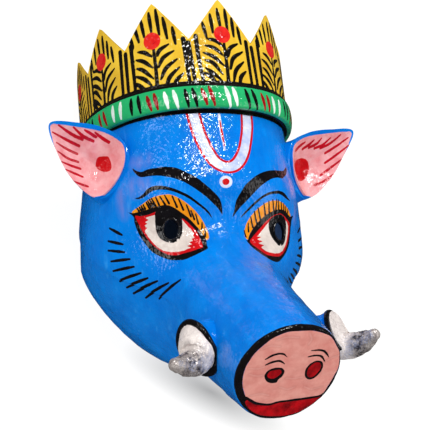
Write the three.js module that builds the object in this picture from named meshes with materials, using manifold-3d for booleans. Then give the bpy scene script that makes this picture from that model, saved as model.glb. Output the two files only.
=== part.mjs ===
// A varaha mask: a boar's face of pasted paper with a long snout, cupped ears, two foil covered tusks
// and a cut card crown on a padded band. It is hollow and open at the back, and lies on its back rim.
// Millimetres. +Z is the way the face looks, +Y runs up the face to the crown, +X is the viewer's right.
// The floor under the rim is Z = 0, and X = Y = 0 is the middle of the outline.
import * as THREE from "three";
import { mergeVertices } from "three/addons/utils/BufferGeometryUtils.js";
import Module from "manifold-3d";

const wasm = await Module();
wasm.setup();

// Driving dimensions of the paper wall and of the joints between pieces.
const WALL = 4.5;
const GAP = 0.35; // left between pieces that touch

// The head: level sections across the face, each a squared ellipse.
const HEAD_AXIS_Z = 38; // where a section is widest
const FOREHEAD_HALF = 101.5; // half width under the crown
const CHEEK_HALF = 111.5;
const FOREHEAD_DEPTH = 113; // from the axis forward to the forehead
const MUZZLE_DEPTH = 84; // the same below the eyes, under the root of the snout
const SECTION_POWER = 2.25;
const DOME_TOP_Y = 155.5;
const BAND_TOP_Y = 113.5;
const BAND_BOTTOM_Y = 89.5;
const BROW_Y = 28.5;
const CHEEK_Y = -28.5;
const EYE_FLOOR_Y = -31.5;
const CHIN_Y = -125.5;
const DOME_POWER = 2.5;
const JAW_POWER = 1.5;

// The eyes: a low swelling round each, and a hole through the pupil to look out of.
const EYE_X = 52;
const EYE_Y = -10.5;
const EYE_SWELL = 6;
const EYE_SPREAD_X = 30;
const EYE_SPREAD_Y = 28;
const TEAR_X = 21; // a hollow at each inner corner, beside the bridge of the snout
const TEAR_Y = -33;
const TEAR_DEPTH = 4.5;
const TEAR_SPREAD = 15;
const PUPILS = [
  [-52, -19.5],
  [57, -22],
];
const PUPIL_WIDTH = 13;
const PUPIL_HEIGHT = 18;

// The snout: a cone from inside the head to the flat pink disc.
const DISC_CENTRE = new THREE.Vector3(0, -167, 236);
const DISC_TILT = THREE.MathUtils.degToRad(45); // how far the disc faces down from straight ahead
const DISC_RADIUS = 46.5;
const DISC_EDGE = 5; // how softly the disc turns into the flank
const SNOUT_ROOT = new THREE.Vector3(0, -45, 69.5);
const ROOT_HALF_WIDTH = 60;
const ROOT_ABOVE = 46; // the root's height above and below the snout's axis
const ROOT_BELOW = 89;
const SNOUT_FLARE = 0.94;
const SNOUT_BLEND = 53; // how softly the snout runs into the cheeks
const SNOUT_TWIST = THREE.MathUtils.degToRad(4); // the tusks and nostrils sit a little turned

// The tusks and the raised collars that they stand in. A collar's face is placed on the snout from the
// disc's centre, and looks outward and a little forward.
const TUSK_ACROSS = 60.5;
const TUSK_UP = -7;
const TUSK_BACK = 54;
const COLLAR_FORWARD = THREE.MathUtils.degToRad(30);
const COLLAR_UPWARD = THREE.MathUtils.degToRad(14);
const COLLAR_RADIUS = 23;
const COLLAR_FOOT_RADIUS = 14;
const COLLAR_DEPTH = 30;
const TUSK_TIP = [90.5, 6, -27]; // across, up and out from the disc's centre
const TUSK_RADII = [19.5, 17.8, 16.2, 14.9, 13.8, 12.8, 11.6, 10.3, 8.8, 6.6, 3.2];

// The crown: card peaks round the head, on a padded band.
const CROWN_HALF = 101.5;
const CROWN_X = 1; // the crown sits a little to one side
const CROWN_DEPTH = 119;
const CARD = 2.2;
const CARD_FOOT_Y = 101;
const PEAK_RISE = 88; // the front peak, from the band's top; each next one is a little lower
const PEAK_DROP = 1.6;
const VALLEY_RISE = 44.5;
const PEAK_PITCH = 63.6; // along the card
const CROWN_TURN = 5; // the middle peak's shift along the card
const BAND_BULGE = 3.4;
const BAND_WALL = 0.8; // the band's paper outside the card
const BAND_LAP = 9; // how far the band reaches under the card's foot to the forehead

// The ears: a leaf shaped rim, and a cup drawn back from it to a root in the side of the head.
const EAR_RIM = [
  [156.5, 84.5, 121],
  [130, 85.5, 122.5],
  [107, 83, 119.5],
  [91, 74, 118.5],
  [85.5, 55, 117.5],
  [92, 36, 107.5],
  [110, 21, 95],
  [132, 36, 98],
  [148, 60, 107],
].map((p) => new THREE.Vector3(...p));
const EAR_CUP_BOTTOM = new THREE.Vector3(107, 53, 91);
const EAR_ROOT_CENTRE = new THREE.Vector3(88, 48, 66);
const EAR_ROOT_RADIUS = 23;
const EAR_RIM_THICKNESS = 3.6;

const lerp = THREE.MathUtils.lerp;
const clamp = THREE.MathUtils.clamp;
const smooth = (t) => THREE.MathUtils.smoothstep(t, 0, 1);
const vector = (x, y, z) => new THREE.Vector3(x, y, z);

// The snout's own directions: out through the disc, and up the disc.
const DISC_OUT = vector(0, -Math.sin(DISC_TILT), Math.cos(DISC_TILT));
const DISC_UP = vector(0, Math.cos(DISC_TILT), Math.sin(DISC_TILT));
const SNOUT_OUT = DISC_CENTRE.clone().sub(SNOUT_ROOT).normalize();
const SNOUT_UP = vector(0, SNOUT_OUT.z, -SNOUT_OUT.y);
const SNOUT_LENGTH = DISC_CENTRE.distanceTo(SNOUT_ROOT);

// A point given across, up and out from the disc's centre, turned by the snout's twist.
function onSnout(across, up, out) {
  return vector(across, 0, 0)
    .addScaledVector(DISC_UP, up)
    .addScaledVector(DISC_OUT, out)
    .applyAxisAngle(DISC_OUT, SNOUT_TWIST)
    .add(DISC_CENTRE);
}

// Each field is about the distance in millimetres from a form's surface, and negative inside it.
function squaredEllipse(across, along, power) {
  return (Math.abs(across) ** power + Math.abs(along) ** power) ** (1 / power);
}

function smoothLesser(a, b, blend) {
  const h = clamp(0.5 + (0.5 * (b - a)) / blend, 0, 1);
  return lerp(b, a, h) - blend * h * (1 - h);
}

function headField(p) {
  const down = smooth((BAND_BOTTOM_Y - p.y) / (BAND_BOTTOM_Y - CHEEK_Y));
  const half = lerp(FOREHEAD_HALF, CHEEK_HALF, down);
  const sink = smooth((BROW_Y - p.y) / (BROW_Y - EYE_FLOOR_Y));
  const depth = lerp(FOREHEAD_DEPTH, MUZZLE_DEPTH, sink);
  const forward = p.z - HEAD_AXIS_Z;
  const section = squaredEllipse(p.x / half, forward / (forward > 0 ? depth : half), SECTION_POWER);
  const overBand = Math.max(0, (p.y - BAND_BOTTOM_Y) / (DOME_TOP_Y - BAND_BOTTOM_Y));
  const underCheek = Math.max(0, (CHEEK_Y - p.y) / (CHEEK_Y - CHIN_Y));
  const whole =
    overBand > 0
      ? squaredEllipse(section, overBand, DOME_POWER)
      : squaredEllipse(section, underCheek, JAW_POWER);
  const swell = Math.exp(
    -(((Math.abs(p.x) - EYE_X) / EYE_SPREAD_X) ** 2) - ((p.y - EYE_Y) / EYE_SPREAD_Y) ** 2,
  );
  const tear = Math.exp(
    -(((Math.abs(p.x) - TEAR_X) / TEAR_SPREAD) ** 2) - ((p.y - TEAR_Y) / TEAR_SPREAD) ** 2,
  );
  const relief = forward > 0 ? TEAR_DEPTH * tear - EYE_SWELL * swell : 0;
  return (whole - 1) * Math.min(half, depth) + relief;
}

function snoutField(p) {
  const offset = p.clone().sub(DISC_CENTRE);
  const back = clamp(-offset.dot(SNOUT_OUT) / SNOUT_LENGTH, 0, 1.2);
  const flare = back ** SNOUT_FLARE;
  const halfWidth = lerp(DISC_RADIUS, ROOT_HALF_WIDTH, flare);
  const up = offset.dot(SNOUT_UP);
  const halfHeight = lerp(DISC_RADIUS, up > 0 ? ROOT_ABOVE : ROOT_BELOW, flare);
  const section = squaredEllipse(offset.x / halfWidth, up / halfHeight, 2);
  const flank = (section - 1) * Math.min(halfWidth, halfHeight);
  return -smoothLesser(-flank, -offset.dot(DISC_OUT), DISC_EDGE);
}

function faceField(p) {
  return smoothLesser(headField(p), snoutField(p), SNOUT_BLEND);
}

// How far from a point inside, along a direction, the face's surface lies (level 0) or one inside it.
function reach(field, from, direction, level, farthest = 330) {
  const p = vector();
  const at = (r) => field(p.copy(direction).multiplyScalar(r).add(from)) - level;
  const step = 6;
  let r = step;
  while (at(r) < 0 && r < farthest) r += step;
  let low = r - step;
  let high = r;
  for (let i = 0; i < 24; i++) {
    const middle = (low + high) / 2;
    if (at(middle) < 0) low = middle;
    else high = middle;
  }
  return high;
}

// Solids: a closed geometry goes in, and one manifold comes out.
function solidOfGeometry(geometry) {
  const bare = geometry.clone();
  bare.deleteAttribute("normal");
  bare.deleteAttribute("uv");
  const merged = mergeVertices(bare, 1e-4);
  return new wasm.Manifold(
    new wasm.Mesh({
      numProp: 3,
      vertProperties: merged.attributes.position.array,
      triVerts: new Uint32Array(merged.index.array),
    }),
  );
}

function solidOf(vertices, triangles) {
  const geometry = new THREE.BufferGeometry();
  const flat = triangles.flat().flatMap((i) => vertices[i].toArray());
  geometry.setAttribute("position", new THREE.Float32BufferAttribute(flat, 3));
  return solidOfGeometry(geometry);
}

// The same, turned the right way out whichever way its triangles run.
function outwardSolid(vertices, triangles) {
  const solid = solidOf(vertices, triangles);
  if (solid.volume() > 0) return solid;
  return solidOf(vertices, triangles.map(([a, b, c]) => [a, c, b]));
}

// Joins rings of equal length into a skin; `closed` says whether each ring meets its own start.
function skinBetween(rings, first, closed, triangles) {
  const count = rings[0].length;
  for (let ring = 0; ring + 1 < rings.length; ring++)
    for (let i = 0; i < (closed ? count : count - 1); i++) {
      const a = first + ring * count + i;
      const b = first + ring * count + ((i + 1) % count);
      triangles.push([a, a + count, b], [b, a + count, b + count]);
    }
}

// A lofted body: rings from one cap to the other, each cap a fan round the ring's middle.
function loft(rings) {
  const vertices = rings.flat();
  const triangles = [];
  const count = rings[0].length;
  skinBetween(rings, 0, true, triangles);
  const cap = (start, flip) => {
    const middle = vector();
    for (let i = 0; i < count; i++) middle.addScaledVector(vertices[start + i], 1 / count);
    const hub = vertices.push(middle) - 1;
    for (let i = 0; i < count; i++) {
      const a = start + i;
      const b = start + ((i + 1) % count);
      triangles.push(flip ? [hub, b, a] : [hub, a, b]);
    }
  };
  cap(0, false);
  cap((rings.length - 1) * count, true);
  return outwardSolid(vertices, triangles);
}

// The face is seen whole from a core point behind the snout, so it is a polar grid round the snout.
const CORE_DEPTH = 200;
const CORE = DISC_CENTRE.clone().addScaledVector(DISC_OUT, -CORE_DEPTH);
const AROUND = 50;
const OUTER_RINGS = 21;
const INNER_RINGS = 17;
const BELOW_FLOOR = 12;

function polarDirection(polar, turn) {
  return DISC_OUT.clone()
    .multiplyScalar(Math.cos(polar))
    .addScaledVector(DISC_UP, Math.sin(polar) * Math.cos(turn))
    .addScaledVector(vector(1, 0, 0), Math.sin(polar) * Math.sin(turn));
}

// Polar angles of the rings: over the disc, then along the flank and the cheek to below the rim. They
// are spaced by the length of the skin, closer together on the snout than round the back.
const DISC_ANGLE = Math.atan(DISC_RADIUS / CORE_DEPTH);
const TRIAL_STEP = 0.012;
const SNOUT_SHARE = 0.62;

function ringPoints(turn, level, count, clearance) {
  const pointAt = (polar, extra = 0) => {
    const direction = polarDirection(polar, turn);
    return CORE.clone().addScaledVector(direction, reach(faceField, CORE, direction, level + extra));
  };
  const trial = [{ polar: DISC_ANGLE * 1.015, length: 0, point: pointAt(DISC_ANGLE * 1.015) }];
  let last = trial[0];
  while (last.point.z > -BELOW_FLOOR || last.polar < Math.PI / 3) {
    const polar = last.polar + TRIAL_STEP;
    const point = pointAt(polar);
    last = { polar, point, length: last.length + point.distanceTo(last.point) };
    trial.push(last);
  }
  const polars = [0.35, 0.68, 0.9, 0.985].map((share) => share * DISC_ANGLE);
  for (let i = 0; i <= count; i++) {
    const share = i / count;
    const length = last.length * share * lerp(SNOUT_SHARE, 1, share);
    polars.push((trial.find((step) => step.length >= length) ?? last).polar);
  }
  return polars.map((polar) => pointAt(polar, clearance));
}

// A closed body under one skin: the skin itself, and a fan below the floor that shuts it. With a
// clearance it is the same body grown by that much, facet for facet.
function faceBody(level, count, clearance = 0) {
  const toTip = reach(faceField, CORE, DISC_OUT, level + clearance);
  const tip = CORE.clone().addScaledVector(DISC_OUT, toTip);
  const columns = [];
  for (let i = 0; i < AROUND; i++)
    columns.push(ringPoints((i / AROUND) * 2 * Math.PI, level, count, clearance));
  const rings = columns[0].map((_, ring) => columns.map((column) => column[ring]));
  const vertices = [tip, ...rings.flat(), vector(0, -20, -BELOW_FLOOR * 1.5)];
  const triangles = [];
  for (let i = 0; i < AROUND; i++) triangles.push([0, 1 + i, 1 + ((i + 1) % AROUND)]);
  skinBetween(rings, 1, true, triangles);
  const lastRing = 1 + (rings.length - 1) * AROUND;
  const hub = vertices.length - 1;
  for (let i = 0; i < AROUND; i++) triangles.push([hub, lastRing + ((i + 1) % AROUND), lastRing + i]);
  return outwardSolid(vertices, triangles);
}

// Everything under the floor, to cut the open back flat.
function floorBlock() {
  const span = 900;
  const depth = 200;
  const block = new THREE.BoxGeometry(span, span, depth);
  block.translate(0, 0, -depth / 2);
  return solidOfGeometry(block);
}

const FLOOR = floorBlock();
const SOLID_FACE = faceBody(0, OUTER_RINGS);
const FACE_WITH_GAP = faceBody(0, OUTER_RINGS, GAP);

function pupilPlug([x, y]) {
  const length = 90;
  const wallZ = 125;
  const plug = new THREE.CylinderGeometry(1, 1, length, 16);
  plug.rotateX(Math.PI / 2);
  plug.scale(PUPIL_WIDTH / 2, PUPIL_HEIGHT / 2, 1);
  plug.translate(x, y, wallZ);
  return solidOfGeometry(plug);
}

// Where a tusk leaves its collar, and the way the collar's face looks: outward, forward and up.
function tuskSeat(side) {
  const level = Math.cos(COLLAR_FORWARD);
  const centre = onSnout(side * TUSK_ACROSS, TUSK_UP, -TUSK_BACK);
  const ahead = onSnout(
    side * (TUSK_ACROSS + level * Math.cos(COLLAR_UPWARD)),
    TUSK_UP + level * Math.sin(COLLAR_UPWARD),
    -TUSK_BACK + Math.sin(COLLAR_FORWARD),
  );
  return { centre, facing: ahead.sub(centre).normalize() };
}

// The collar is a trumpet of pulp round the tusk's root, narrow where it grows from the snout.
function collar(side) {
  const { centre, facing } = tuskSeat(side);
  const profile = [
    [0, -COLLAR_DEPTH],
    [COLLAR_FOOT_RADIUS, -COLLAR_DEPTH],
    [COLLAR_FOOT_RADIUS + 2, -14],
    [COLLAR_RADIUS - 1.5, -5],
    [COLLAR_RADIUS, -2],
    [COLLAR_RADIUS - 2, 0],
    [0, 0],
  ].map(([radius, height]) => new THREE.Vector2(radius, height));
  const lump = new THREE.LatheGeometry(profile, 20);
  lump.applyQuaternion(new THREE.Quaternion().setFromUnitVectors(vector(0, 1, 0), facing));
  lump.translate(centre.x, centre.y, centre.z);
  return solidOfGeometry(lump);
}

const COLLARS = [-1, 1].map((side) => collar(side));

function makeHead() {
  let outside = SOLID_FACE;
  for (const lump of COLLARS) outside = outside.add(lump);
  let head = outside.subtract(faceBody(-WALL, INNER_RINGS)).subtract(FLOOR);
  for (const pupil of PUPILS) head = head.subtract(pupilPlug(pupil));
  return head;
}

// A point of the crown's outline. `turn` is 0 at the front and grows to the viewer's right.
function crownPoint(turn, y, outward = 0) {
  const sine = Math.sin(turn);
  const cosine = Math.cos(turn);
  const half = CROWN_HALF + outward;
  const depth = (cosine > 0 ? CROWN_DEPTH : CROWN_HALF) + outward;
  const power = 2 / SECTION_POWER;
  return vector(
    CROWN_X + Math.sign(sine) * half * Math.abs(sine) ** power,
    y,
    HEAD_AXIS_Z + Math.sign(cosine) * depth * Math.abs(cosine) ** power,
  );
}

// The outline's length, tabled so that peaks are spaced evenly along the card.
function crownTable() {
  const steps = 720;
  const table = [{ turn: 0, length: 0 }];
  for (let i = 1; i <= steps; i++) {
    const turn = (i / steps) * Math.PI;
    const before = table[i - 1];
    const length = before.length + crownPoint(turn, 0).distanceTo(crownPoint(before.turn, 0));
    table.push({ turn, length });
  }
  return table;
}

const CROWN_LENGTHS = crownTable();

function turnAtLength(length) {
  const row = CROWN_LENGTHS.findIndex((entry) => entry.length >= Math.abs(length));
  const after = CROWN_LENGTHS[row];
  const before = CROWN_LENGTHS[Math.max(row - 1, 0)];
  const share = (Math.abs(length) - before.length) / Math.max(after.length - before.length, 1e-9);
  return Math.sign(length) * lerp(before.turn, after.turn, share);
}

// The card's top edge: straight sided peaks with a small round at each tip and valley.
function peakHeight(length) {
  const along = (length - CROWN_TURN) / PEAK_PITCH;
  const peak = Math.round(along);
  const fromPeak = Math.abs(along - peak) * 2;
  const tip = 0.05;
  const rounded = Math.sqrt(fromPeak * fromPeak + tip * tip) - tip;
  const toValley = Math.sqrt((1 - fromPeak) ** 2 + tip * tip) - tip;
  const rise = PEAK_RISE - PEAK_DROP * peak * peak;
  return BAND_TOP_Y + lerp(rise, VALLEY_RISE, (1 + rounded - toValley) / 2);
}

const COLUMNS_PER_PEAK = 8;
const PAST_FLOOR = 14; // extra length at each end, cut off at the floor

function crownLengths() {
  const half = CROWN_LENGTHS.find((row) => crownPoint(row.turn, 0).z < -PAST_FLOOR).length;
  const lengths = [];
  for (let i = -COLUMNS_PER_PEAK * 5; i <= COLUMNS_PER_PEAK * 5; i++) {
    const length = CROWN_TURN + (i / COLUMNS_PER_PEAK) * PEAK_PITCH;
    if (Math.abs(length) < half) lengths.push(length);
  }
  return lengths;
}

function makeCrown() {
  const rows = 3;
  const rings = crownLengths().map((length) => {
    const turn = turnAtLength(length);
    const top = peakHeight(length);
    const heights = Array.from({ length: rows + 1 }, (_, i) => lerp(CARD_FOOT_Y, top, i / rows));
    const outer = heights.map((y) => crownPoint(turn, y, CARD));
    const inner = heights.map((y) => crownPoint(turn, y)).reverse();
    return [...outer, ...inner];
  });
  return loft(rings).subtract(FLOOR).subtract(FACE_WITH_GAP);
}

// The padded band: a roll outside the card and the forehead, with the card's foot standing in it.
function makeBand() {
  const roll = 6;
  const rings = crownLengths().map((length) => {
    const turn = turnAtLength(length);
    const ring = [];
    for (let i = 0; i <= roll; i++) {
      const angle = (i / roll) * Math.PI;
      const y = lerp(BAND_BOTTOM_Y, BAND_TOP_Y, (1 - Math.cos(angle)) / 2);
      ring.push(crownPoint(turn, y, CARD + BAND_WALL + BAND_BULGE * Math.sin(angle)));
    }
    ring.push(crownPoint(turn, BAND_TOP_Y, CARD + GAP));
    ring.push(crownPoint(turn, CARD_FOOT_Y - GAP, CARD + GAP));
    ring.push(crownPoint(turn, CARD_FOOT_Y - GAP, -BAND_LAP));
    ring.push(crownPoint(turn, BAND_BOTTOM_Y, -BAND_LAP));
    return ring;
  });
  return loft(rings).subtract(FLOOR).subtract(FACE_WITH_GAP);
}

// The ear's rim as a smooth closed curve, mirrored for the other side.
const RIM_STEPS = 28;

function earRim(side) {
  const curve = new THREE.CatmullRomCurve3(EAR_RIM, true, "centripetal");
  const points = curve.getPoints(RIM_STEPS).slice(0, RIM_STEPS);
  return points.map((p) => vector(p.x * side, p.y, p.z));
}

function mirrored(point, side) {
  return vector(point.x * side, point.y, point.z);
}

function makeEar(side) {
  const rim = earRim(side);
  const cupBottom = mirrored(EAR_CUP_BOTTOM, side);
  const root = mirrored(EAR_ROOT_CENTRE, side);
  const middle = rim.reduce((sum, p) => sum.addScaledVector(p, 1 / RIM_STEPS), vector());
  const outward = root.clone().sub(middle).normalize();
  const bulge = (share) => 2 * Math.sin(share * Math.PI);
  // the cup, from the rim down to its bottom, a little hollower than a cone
  const cup = [0, 0.25, 0.5, 0.72, 0.88].map((share) =>
    rim.map((p) => p.clone().lerp(cupBottom, share).addScaledVector(outward, bulge(share))),
  );
  // the back, from the rim to the root inside the head
  const back = [0, 0.22, 0.5, 0.78, 1].map((share) =>
    rim.map((p) => {
      const away = p.clone().sub(middle);
      const lip = away.clone().normalize().multiplyScalar(EAR_RIM_THICKNESS * 0.35);
      const start = p.clone().add(lip).addScaledVector(outward, EAR_RIM_THICKNESS);
      const end = root.clone().addScaledVector(away.clone().normalize(), EAR_ROOT_RADIUS);
      return start.lerp(end, share).addScaledVector(away.normalize(), bulge(share));
    }),
  );
  const rings = [...cup.reverse(), ...back];
  return loft(rings).subtract(FACE_WITH_GAP);
}

// A tusk: round sections along a bent centre line, flared at the root and blunt at the tip.
function makeTusk(side) {
  const { centre, facing } = tuskSeat(side);
  const [across, up, out] = TUSK_TIP;
  const line = new THREE.QuadraticBezierCurve3(
    centre.clone().addScaledVector(facing, GAP),
    centre.clone().addScaledVector(facing, 24),
    onSnout(side * across, up, out),
  );
  const sides = 16;
  const rings = TUSK_RADII.map((radius, i) => {
    const share = i / (TUSK_RADII.length - 1);
    const middle = line.getPoint(share);
    const tangent = line.getTangent(share);
    const u = DISC_UP.clone().addScaledVector(tangent, -DISC_UP.dot(tangent)).normalize();
    const v = tangent.clone().cross(u);
    return Array.from({ length: sides }, (_, k) => {
      const angle = (k / sides) * 2 * Math.PI;
      return middle
        .clone()
        .addScaledVector(u, Math.cos(angle) * radius)
        .addScaledVector(v, Math.sin(angle) * radius);
    });
  });
  return loft(rings);
}

// Paints, as plain materials.
const paint = (color, roughness, metalness = 0) =>
  new THREE.MeshStandardMaterial({ color, roughness, metalness });
const BLUE = paint(0x0a7be0, 0.3);
const PINK = paint(0xeaa0a4, 0.4);
const YELLOW = paint(0xe9c63a, 0.4);
const GREEN = paint(0x1f9e5c, 0.4);
const SILVER = paint(0xc9c9cc, 0.35, 0.8);

function meshOf(solid, material, name) {
  const made = solid.getMesh();
  const geometry = new THREE.BufferGeometry();
  const count = made.numVert;
  const positions = new Float32Array(count * 3);
  for (let i = 0; i < count; i++)
    positions.set(made.vertProperties.subarray(i * made.numProp, i * made.numProp + 3), i * 3);
  geometry.setAttribute("position", new THREE.BufferAttribute(positions, 3));
  geometry.setIndex(new THREE.BufferAttribute(made.triVerts, 1));
  geometry.computeVertexNormals();
  const mesh = new THREE.Mesh(geometry, material);
  mesh.name = name;
  return mesh;
}

const mask = new THREE.Group();
mask.name = "varaha_mask";
mask.add(meshOf(makeHead(), BLUE, "face_shell"));
mask.add(meshOf(makeBand(), GREEN, "crown_band"));
mask.add(meshOf(makeCrown(), YELLOW, "crown_card"));
for (const [side, word] of [
  [-1, "left"],
  [1, "right"],
]) {
  mask.add(meshOf(makeEar(side), PINK, `ear_${word}`));
  mask.add(meshOf(makeTusk(side), SILVER, `tusk_${word}`));
}

export default mask;
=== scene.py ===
# %% [markdown]
# # A varaha mask of pasted paper
#
# The real thing is a folk mask: paper and glue laid up over a clay form, dried to a hollow shell and
# painted with glossy enamel. It lies on its open back with the snout in the air. The imported CAD model
# gives every size and place; here each of its solids gets a finer skin, its paint and its foil.
# We work in metres, in the frame of the CAD.

# %% Load the frame
import math

import bpy
import numpy as np
from mathutils import Matrix, Vector
from mathutils.kdtree import KDTree


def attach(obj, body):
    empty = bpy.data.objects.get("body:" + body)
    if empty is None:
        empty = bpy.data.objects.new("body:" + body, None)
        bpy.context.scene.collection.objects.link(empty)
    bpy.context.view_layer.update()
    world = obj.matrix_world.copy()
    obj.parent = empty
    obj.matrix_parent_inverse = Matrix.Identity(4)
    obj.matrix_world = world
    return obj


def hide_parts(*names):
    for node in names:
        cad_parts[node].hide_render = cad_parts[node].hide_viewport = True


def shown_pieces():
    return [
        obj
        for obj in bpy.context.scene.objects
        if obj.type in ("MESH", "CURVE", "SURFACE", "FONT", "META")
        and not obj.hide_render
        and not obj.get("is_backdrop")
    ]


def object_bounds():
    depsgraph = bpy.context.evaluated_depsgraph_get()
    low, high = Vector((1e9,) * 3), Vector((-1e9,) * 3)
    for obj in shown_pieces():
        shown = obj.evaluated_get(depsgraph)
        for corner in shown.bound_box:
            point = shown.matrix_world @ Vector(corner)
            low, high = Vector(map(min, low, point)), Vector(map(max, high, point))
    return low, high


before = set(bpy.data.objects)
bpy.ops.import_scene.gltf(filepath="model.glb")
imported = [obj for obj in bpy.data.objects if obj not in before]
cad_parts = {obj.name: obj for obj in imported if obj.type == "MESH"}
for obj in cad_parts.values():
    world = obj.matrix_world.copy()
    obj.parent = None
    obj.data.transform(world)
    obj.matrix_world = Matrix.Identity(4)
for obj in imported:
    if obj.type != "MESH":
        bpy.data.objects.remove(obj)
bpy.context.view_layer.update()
bpy.ops.object.select_all(action="DESELECT")
MM = 0.001

# %% [markdown]
# ## Camera
#
# The photographer stood over the mask, a little to its left and towards the chin. The camera's place and
# its three directions were solved from points of the mask that are easy to find in the picture: the eyes,
# the tusks, the crown's tips and the rim of the snout. A long lens of 84 mm keeps the far side large.

# %% Place the camera
CAMERA_AT = Vector((-0.3383, -0.23784, 0.96868))
CAMERA_RIGHT = Vector((0.93488, -0.10132, 0.34018))
CAMERA_UP = Vector((0.00663, 0.96321, 0.26868))
CAMERA_BACK = Vector((-0.35489, -0.24893, 0.90116))
PHOTO_PIXELS = 430
FOCAL_PIXELS = 1000
SENSOR = 36.0

bpy.ops.object.camera_add(location=CAMERA_AT)
camera = bpy.context.object
camera.name = "camera"
turned = Matrix((CAMERA_RIGHT, CAMERA_UP, CAMERA_BACK)).transposed()
camera.rotation_euler = turned.to_euler()
camera.data.sensor_width = SENSOR
camera.data.lens = FOCAL_PIXELS * SENSOR / PHOTO_PIXELS
camera.data.clip_start, camera.data.clip_end = 0.01, 50
bpy.context.scene.camera = camera
print("lens", round(camera.data.lens, 2), "mm")

# %% [markdown]
# ## Floor and light
#
# The picture was taken on white paper under wide soft lights. Four square lamps look at the middle of the
# mask. The strongest hangs over the forehead and gives the long pale sheen there. Those at the left, at the
# right and over the crown are weaker, and break up into small flecks on the varnish. A nearly white world
# fills the shadows. Reflections see a dark world instead, so that the enamel's colours stay deep.

# %% Floor and lamps
FLOOR_HALF = 3.0
LAMPS_LOOK_AT = Vector((0, -0.01, 0.12))
ROOM_LIGHT = 0.62  # how bright the white room is as a fill
ROOM_IN_GLOSS = 0.02  # and in reflections


def soft_lamp(name, toward, distance, size, power):
    """A square lamp that looks at the middle of the mask from the given direction."""
    direction = Vector(toward).normalized()
    bpy.ops.object.light_add(type="AREA", location=LAMPS_LOOK_AT + direction * distance)
    lamp = bpy.context.object
    lamp.name = name
    lamp.data.size = size
    lamp.data.energy = power
    lamp.rotation_euler = direction.to_track_quat("Z", "Y").to_euler()


bpy.ops.mesh.primitive_plane_add(size=2 * FLOOR_HALF, location=(0, 0, 0))
floor = bpy.context.object
floor.name = "paper_floor"
bpy.ops.object.mode_set(mode="EDIT")
bpy.ops.mesh.subdivide(number_cuts=3)
bpy.ops.object.mode_set(mode="OBJECT")
floor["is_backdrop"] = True

soft_lamp("lamp_over_forehead", (0.03, 0.30, 0.93), 1.7, 0.28, 14)
soft_lamp("lamp_at_left", (-0.75, 0.15, 0.65), 1.7, 0.7, 5)
soft_lamp("lamp_at_right", (0.8, -0.25, 0.75), 1.9, 0.9, 5)
soft_lamp("lamp_over_crown", (0.26, 0.79, 0.54), 1.7, 0.22, 3.5)

world = bpy.data.worlds.new("white_room")
bpy.context.scene.world = world
world.use_nodes = True
sky = world.node_tree.nodes["Background"]
sky.inputs["Color"].default_value = (1, 1, 1, 1)
rays = world.node_tree.nodes.new("ShaderNodeLightPath")
dim = world.node_tree.nodes.new("ShaderNodeMapRange")
dim.inputs["To Min"].default_value = ROOM_LIGHT
dim.inputs["To Max"].default_value = ROOM_IN_GLOSS
world.node_tree.links.new(rays.outputs["Is Glossy Ray"], dim.inputs["Value"])
bright = world.node_tree.nodes.new("ShaderNodeMapRange")
bright.inputs["To Max"].default_value = 1.0
world.node_tree.links.new(dim.outputs["Result"], bright.inputs["To Min"])
world.node_tree.links.new(rays.outputs["Is Camera Ray"], bright.inputs["Value"])
world.node_tree.links.new(bright.outputs["Result"], sky.inputs["Strength"])
bpy.context.scene.view_settings.view_transform = "Standard"

# %% [markdown]
# ## Small helpers for shaping
#
# A primitive is only a lump of clay: we add one with the right number of points, and then lay those points
# where the form wants them. The helpers below do this for all the pieces. `sheet_of_rows` starts from a grid,
# `tidy` merges what meets and turns the faces outward, `cut_at_floor` takes away what lies under the mask's
# flat back, `edit_only` selects what a tool of edit mode works on, and `apply_modifier` adds a modifier and
# applies it.

# %% Shaping helpers
def only(obj):
    """Makes obj the one selected and active object."""
    bpy.ops.object.select_all(action="DESELECT")
    obj.select_set(True)
    bpy.context.view_layer.objects.active = obj


def points_of(obj):
    """The object's vertices in millimetres, one row each."""
    flat = np.empty(len(obj.data.vertices) * 3)
    obj.data.vertices.foreach_get("co", flat)
    return flat.reshape(-1, 3) / MM


def lay_points(obj, points):
    """Puts the vertices where the rows say, in millimetres."""
    obj.data.vertices.foreach_set("co", (np.asarray(points) * MM).ravel())
    obj.data.update()


def apply_modifier(obj, kind, **settings):
    only(obj)
    modifier = obj.modifiers.new(kind.lower(), kind)
    for key, value in settings.items():
        setattr(modifier, key, value)
    bpy.ops.object.modifier_apply(modifier=modifier.name)


def shade_smooth(obj, angle):
    """Shades the form smooth, except at edges sharper than that many degrees."""
    only(obj)
    bpy.ops.object.shade_smooth_by_angle(angle=math.radians(angle))


def tidy(obj, merge=0.02, smooth=35):
    """Merges what meets, turns the faces outward and shades the form smooth up to an edge of that angle."""
    only(obj)
    bpy.ops.object.mode_set(mode="EDIT")
    bpy.ops.mesh.select_all(action="SELECT")
    bpy.ops.mesh.remove_doubles(threshold=merge * MM)
    bpy.ops.mesh.normals_make_consistent(inside=False)
    bpy.ops.object.mode_set(mode="OBJECT")
    shade_smooth(obj, smooth)


def cut_at_floor(obj, fill=False):
    """Cuts away what lies below the floor, where the mask rests on its open back."""
    only(obj)
    bpy.ops.object.mode_set(mode="EDIT")
    bpy.ops.mesh.select_all(action="SELECT")
    bpy.ops.mesh.bisect(plane_co=(0, 0, 0), plane_no=(0, 0, 1), clear_inner=True, use_fill=fill)
    bpy.ops.object.mode_set(mode="OBJECT")


def set_down(obj, below):
    """Lays the vertices that are lower than this on the floor, so that the rim is flat."""
    points = points_of(obj)
    points[:, 2] = np.where(points[:, 2] < below, 0, points[:, 2])
    lay_points(obj, points)


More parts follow.
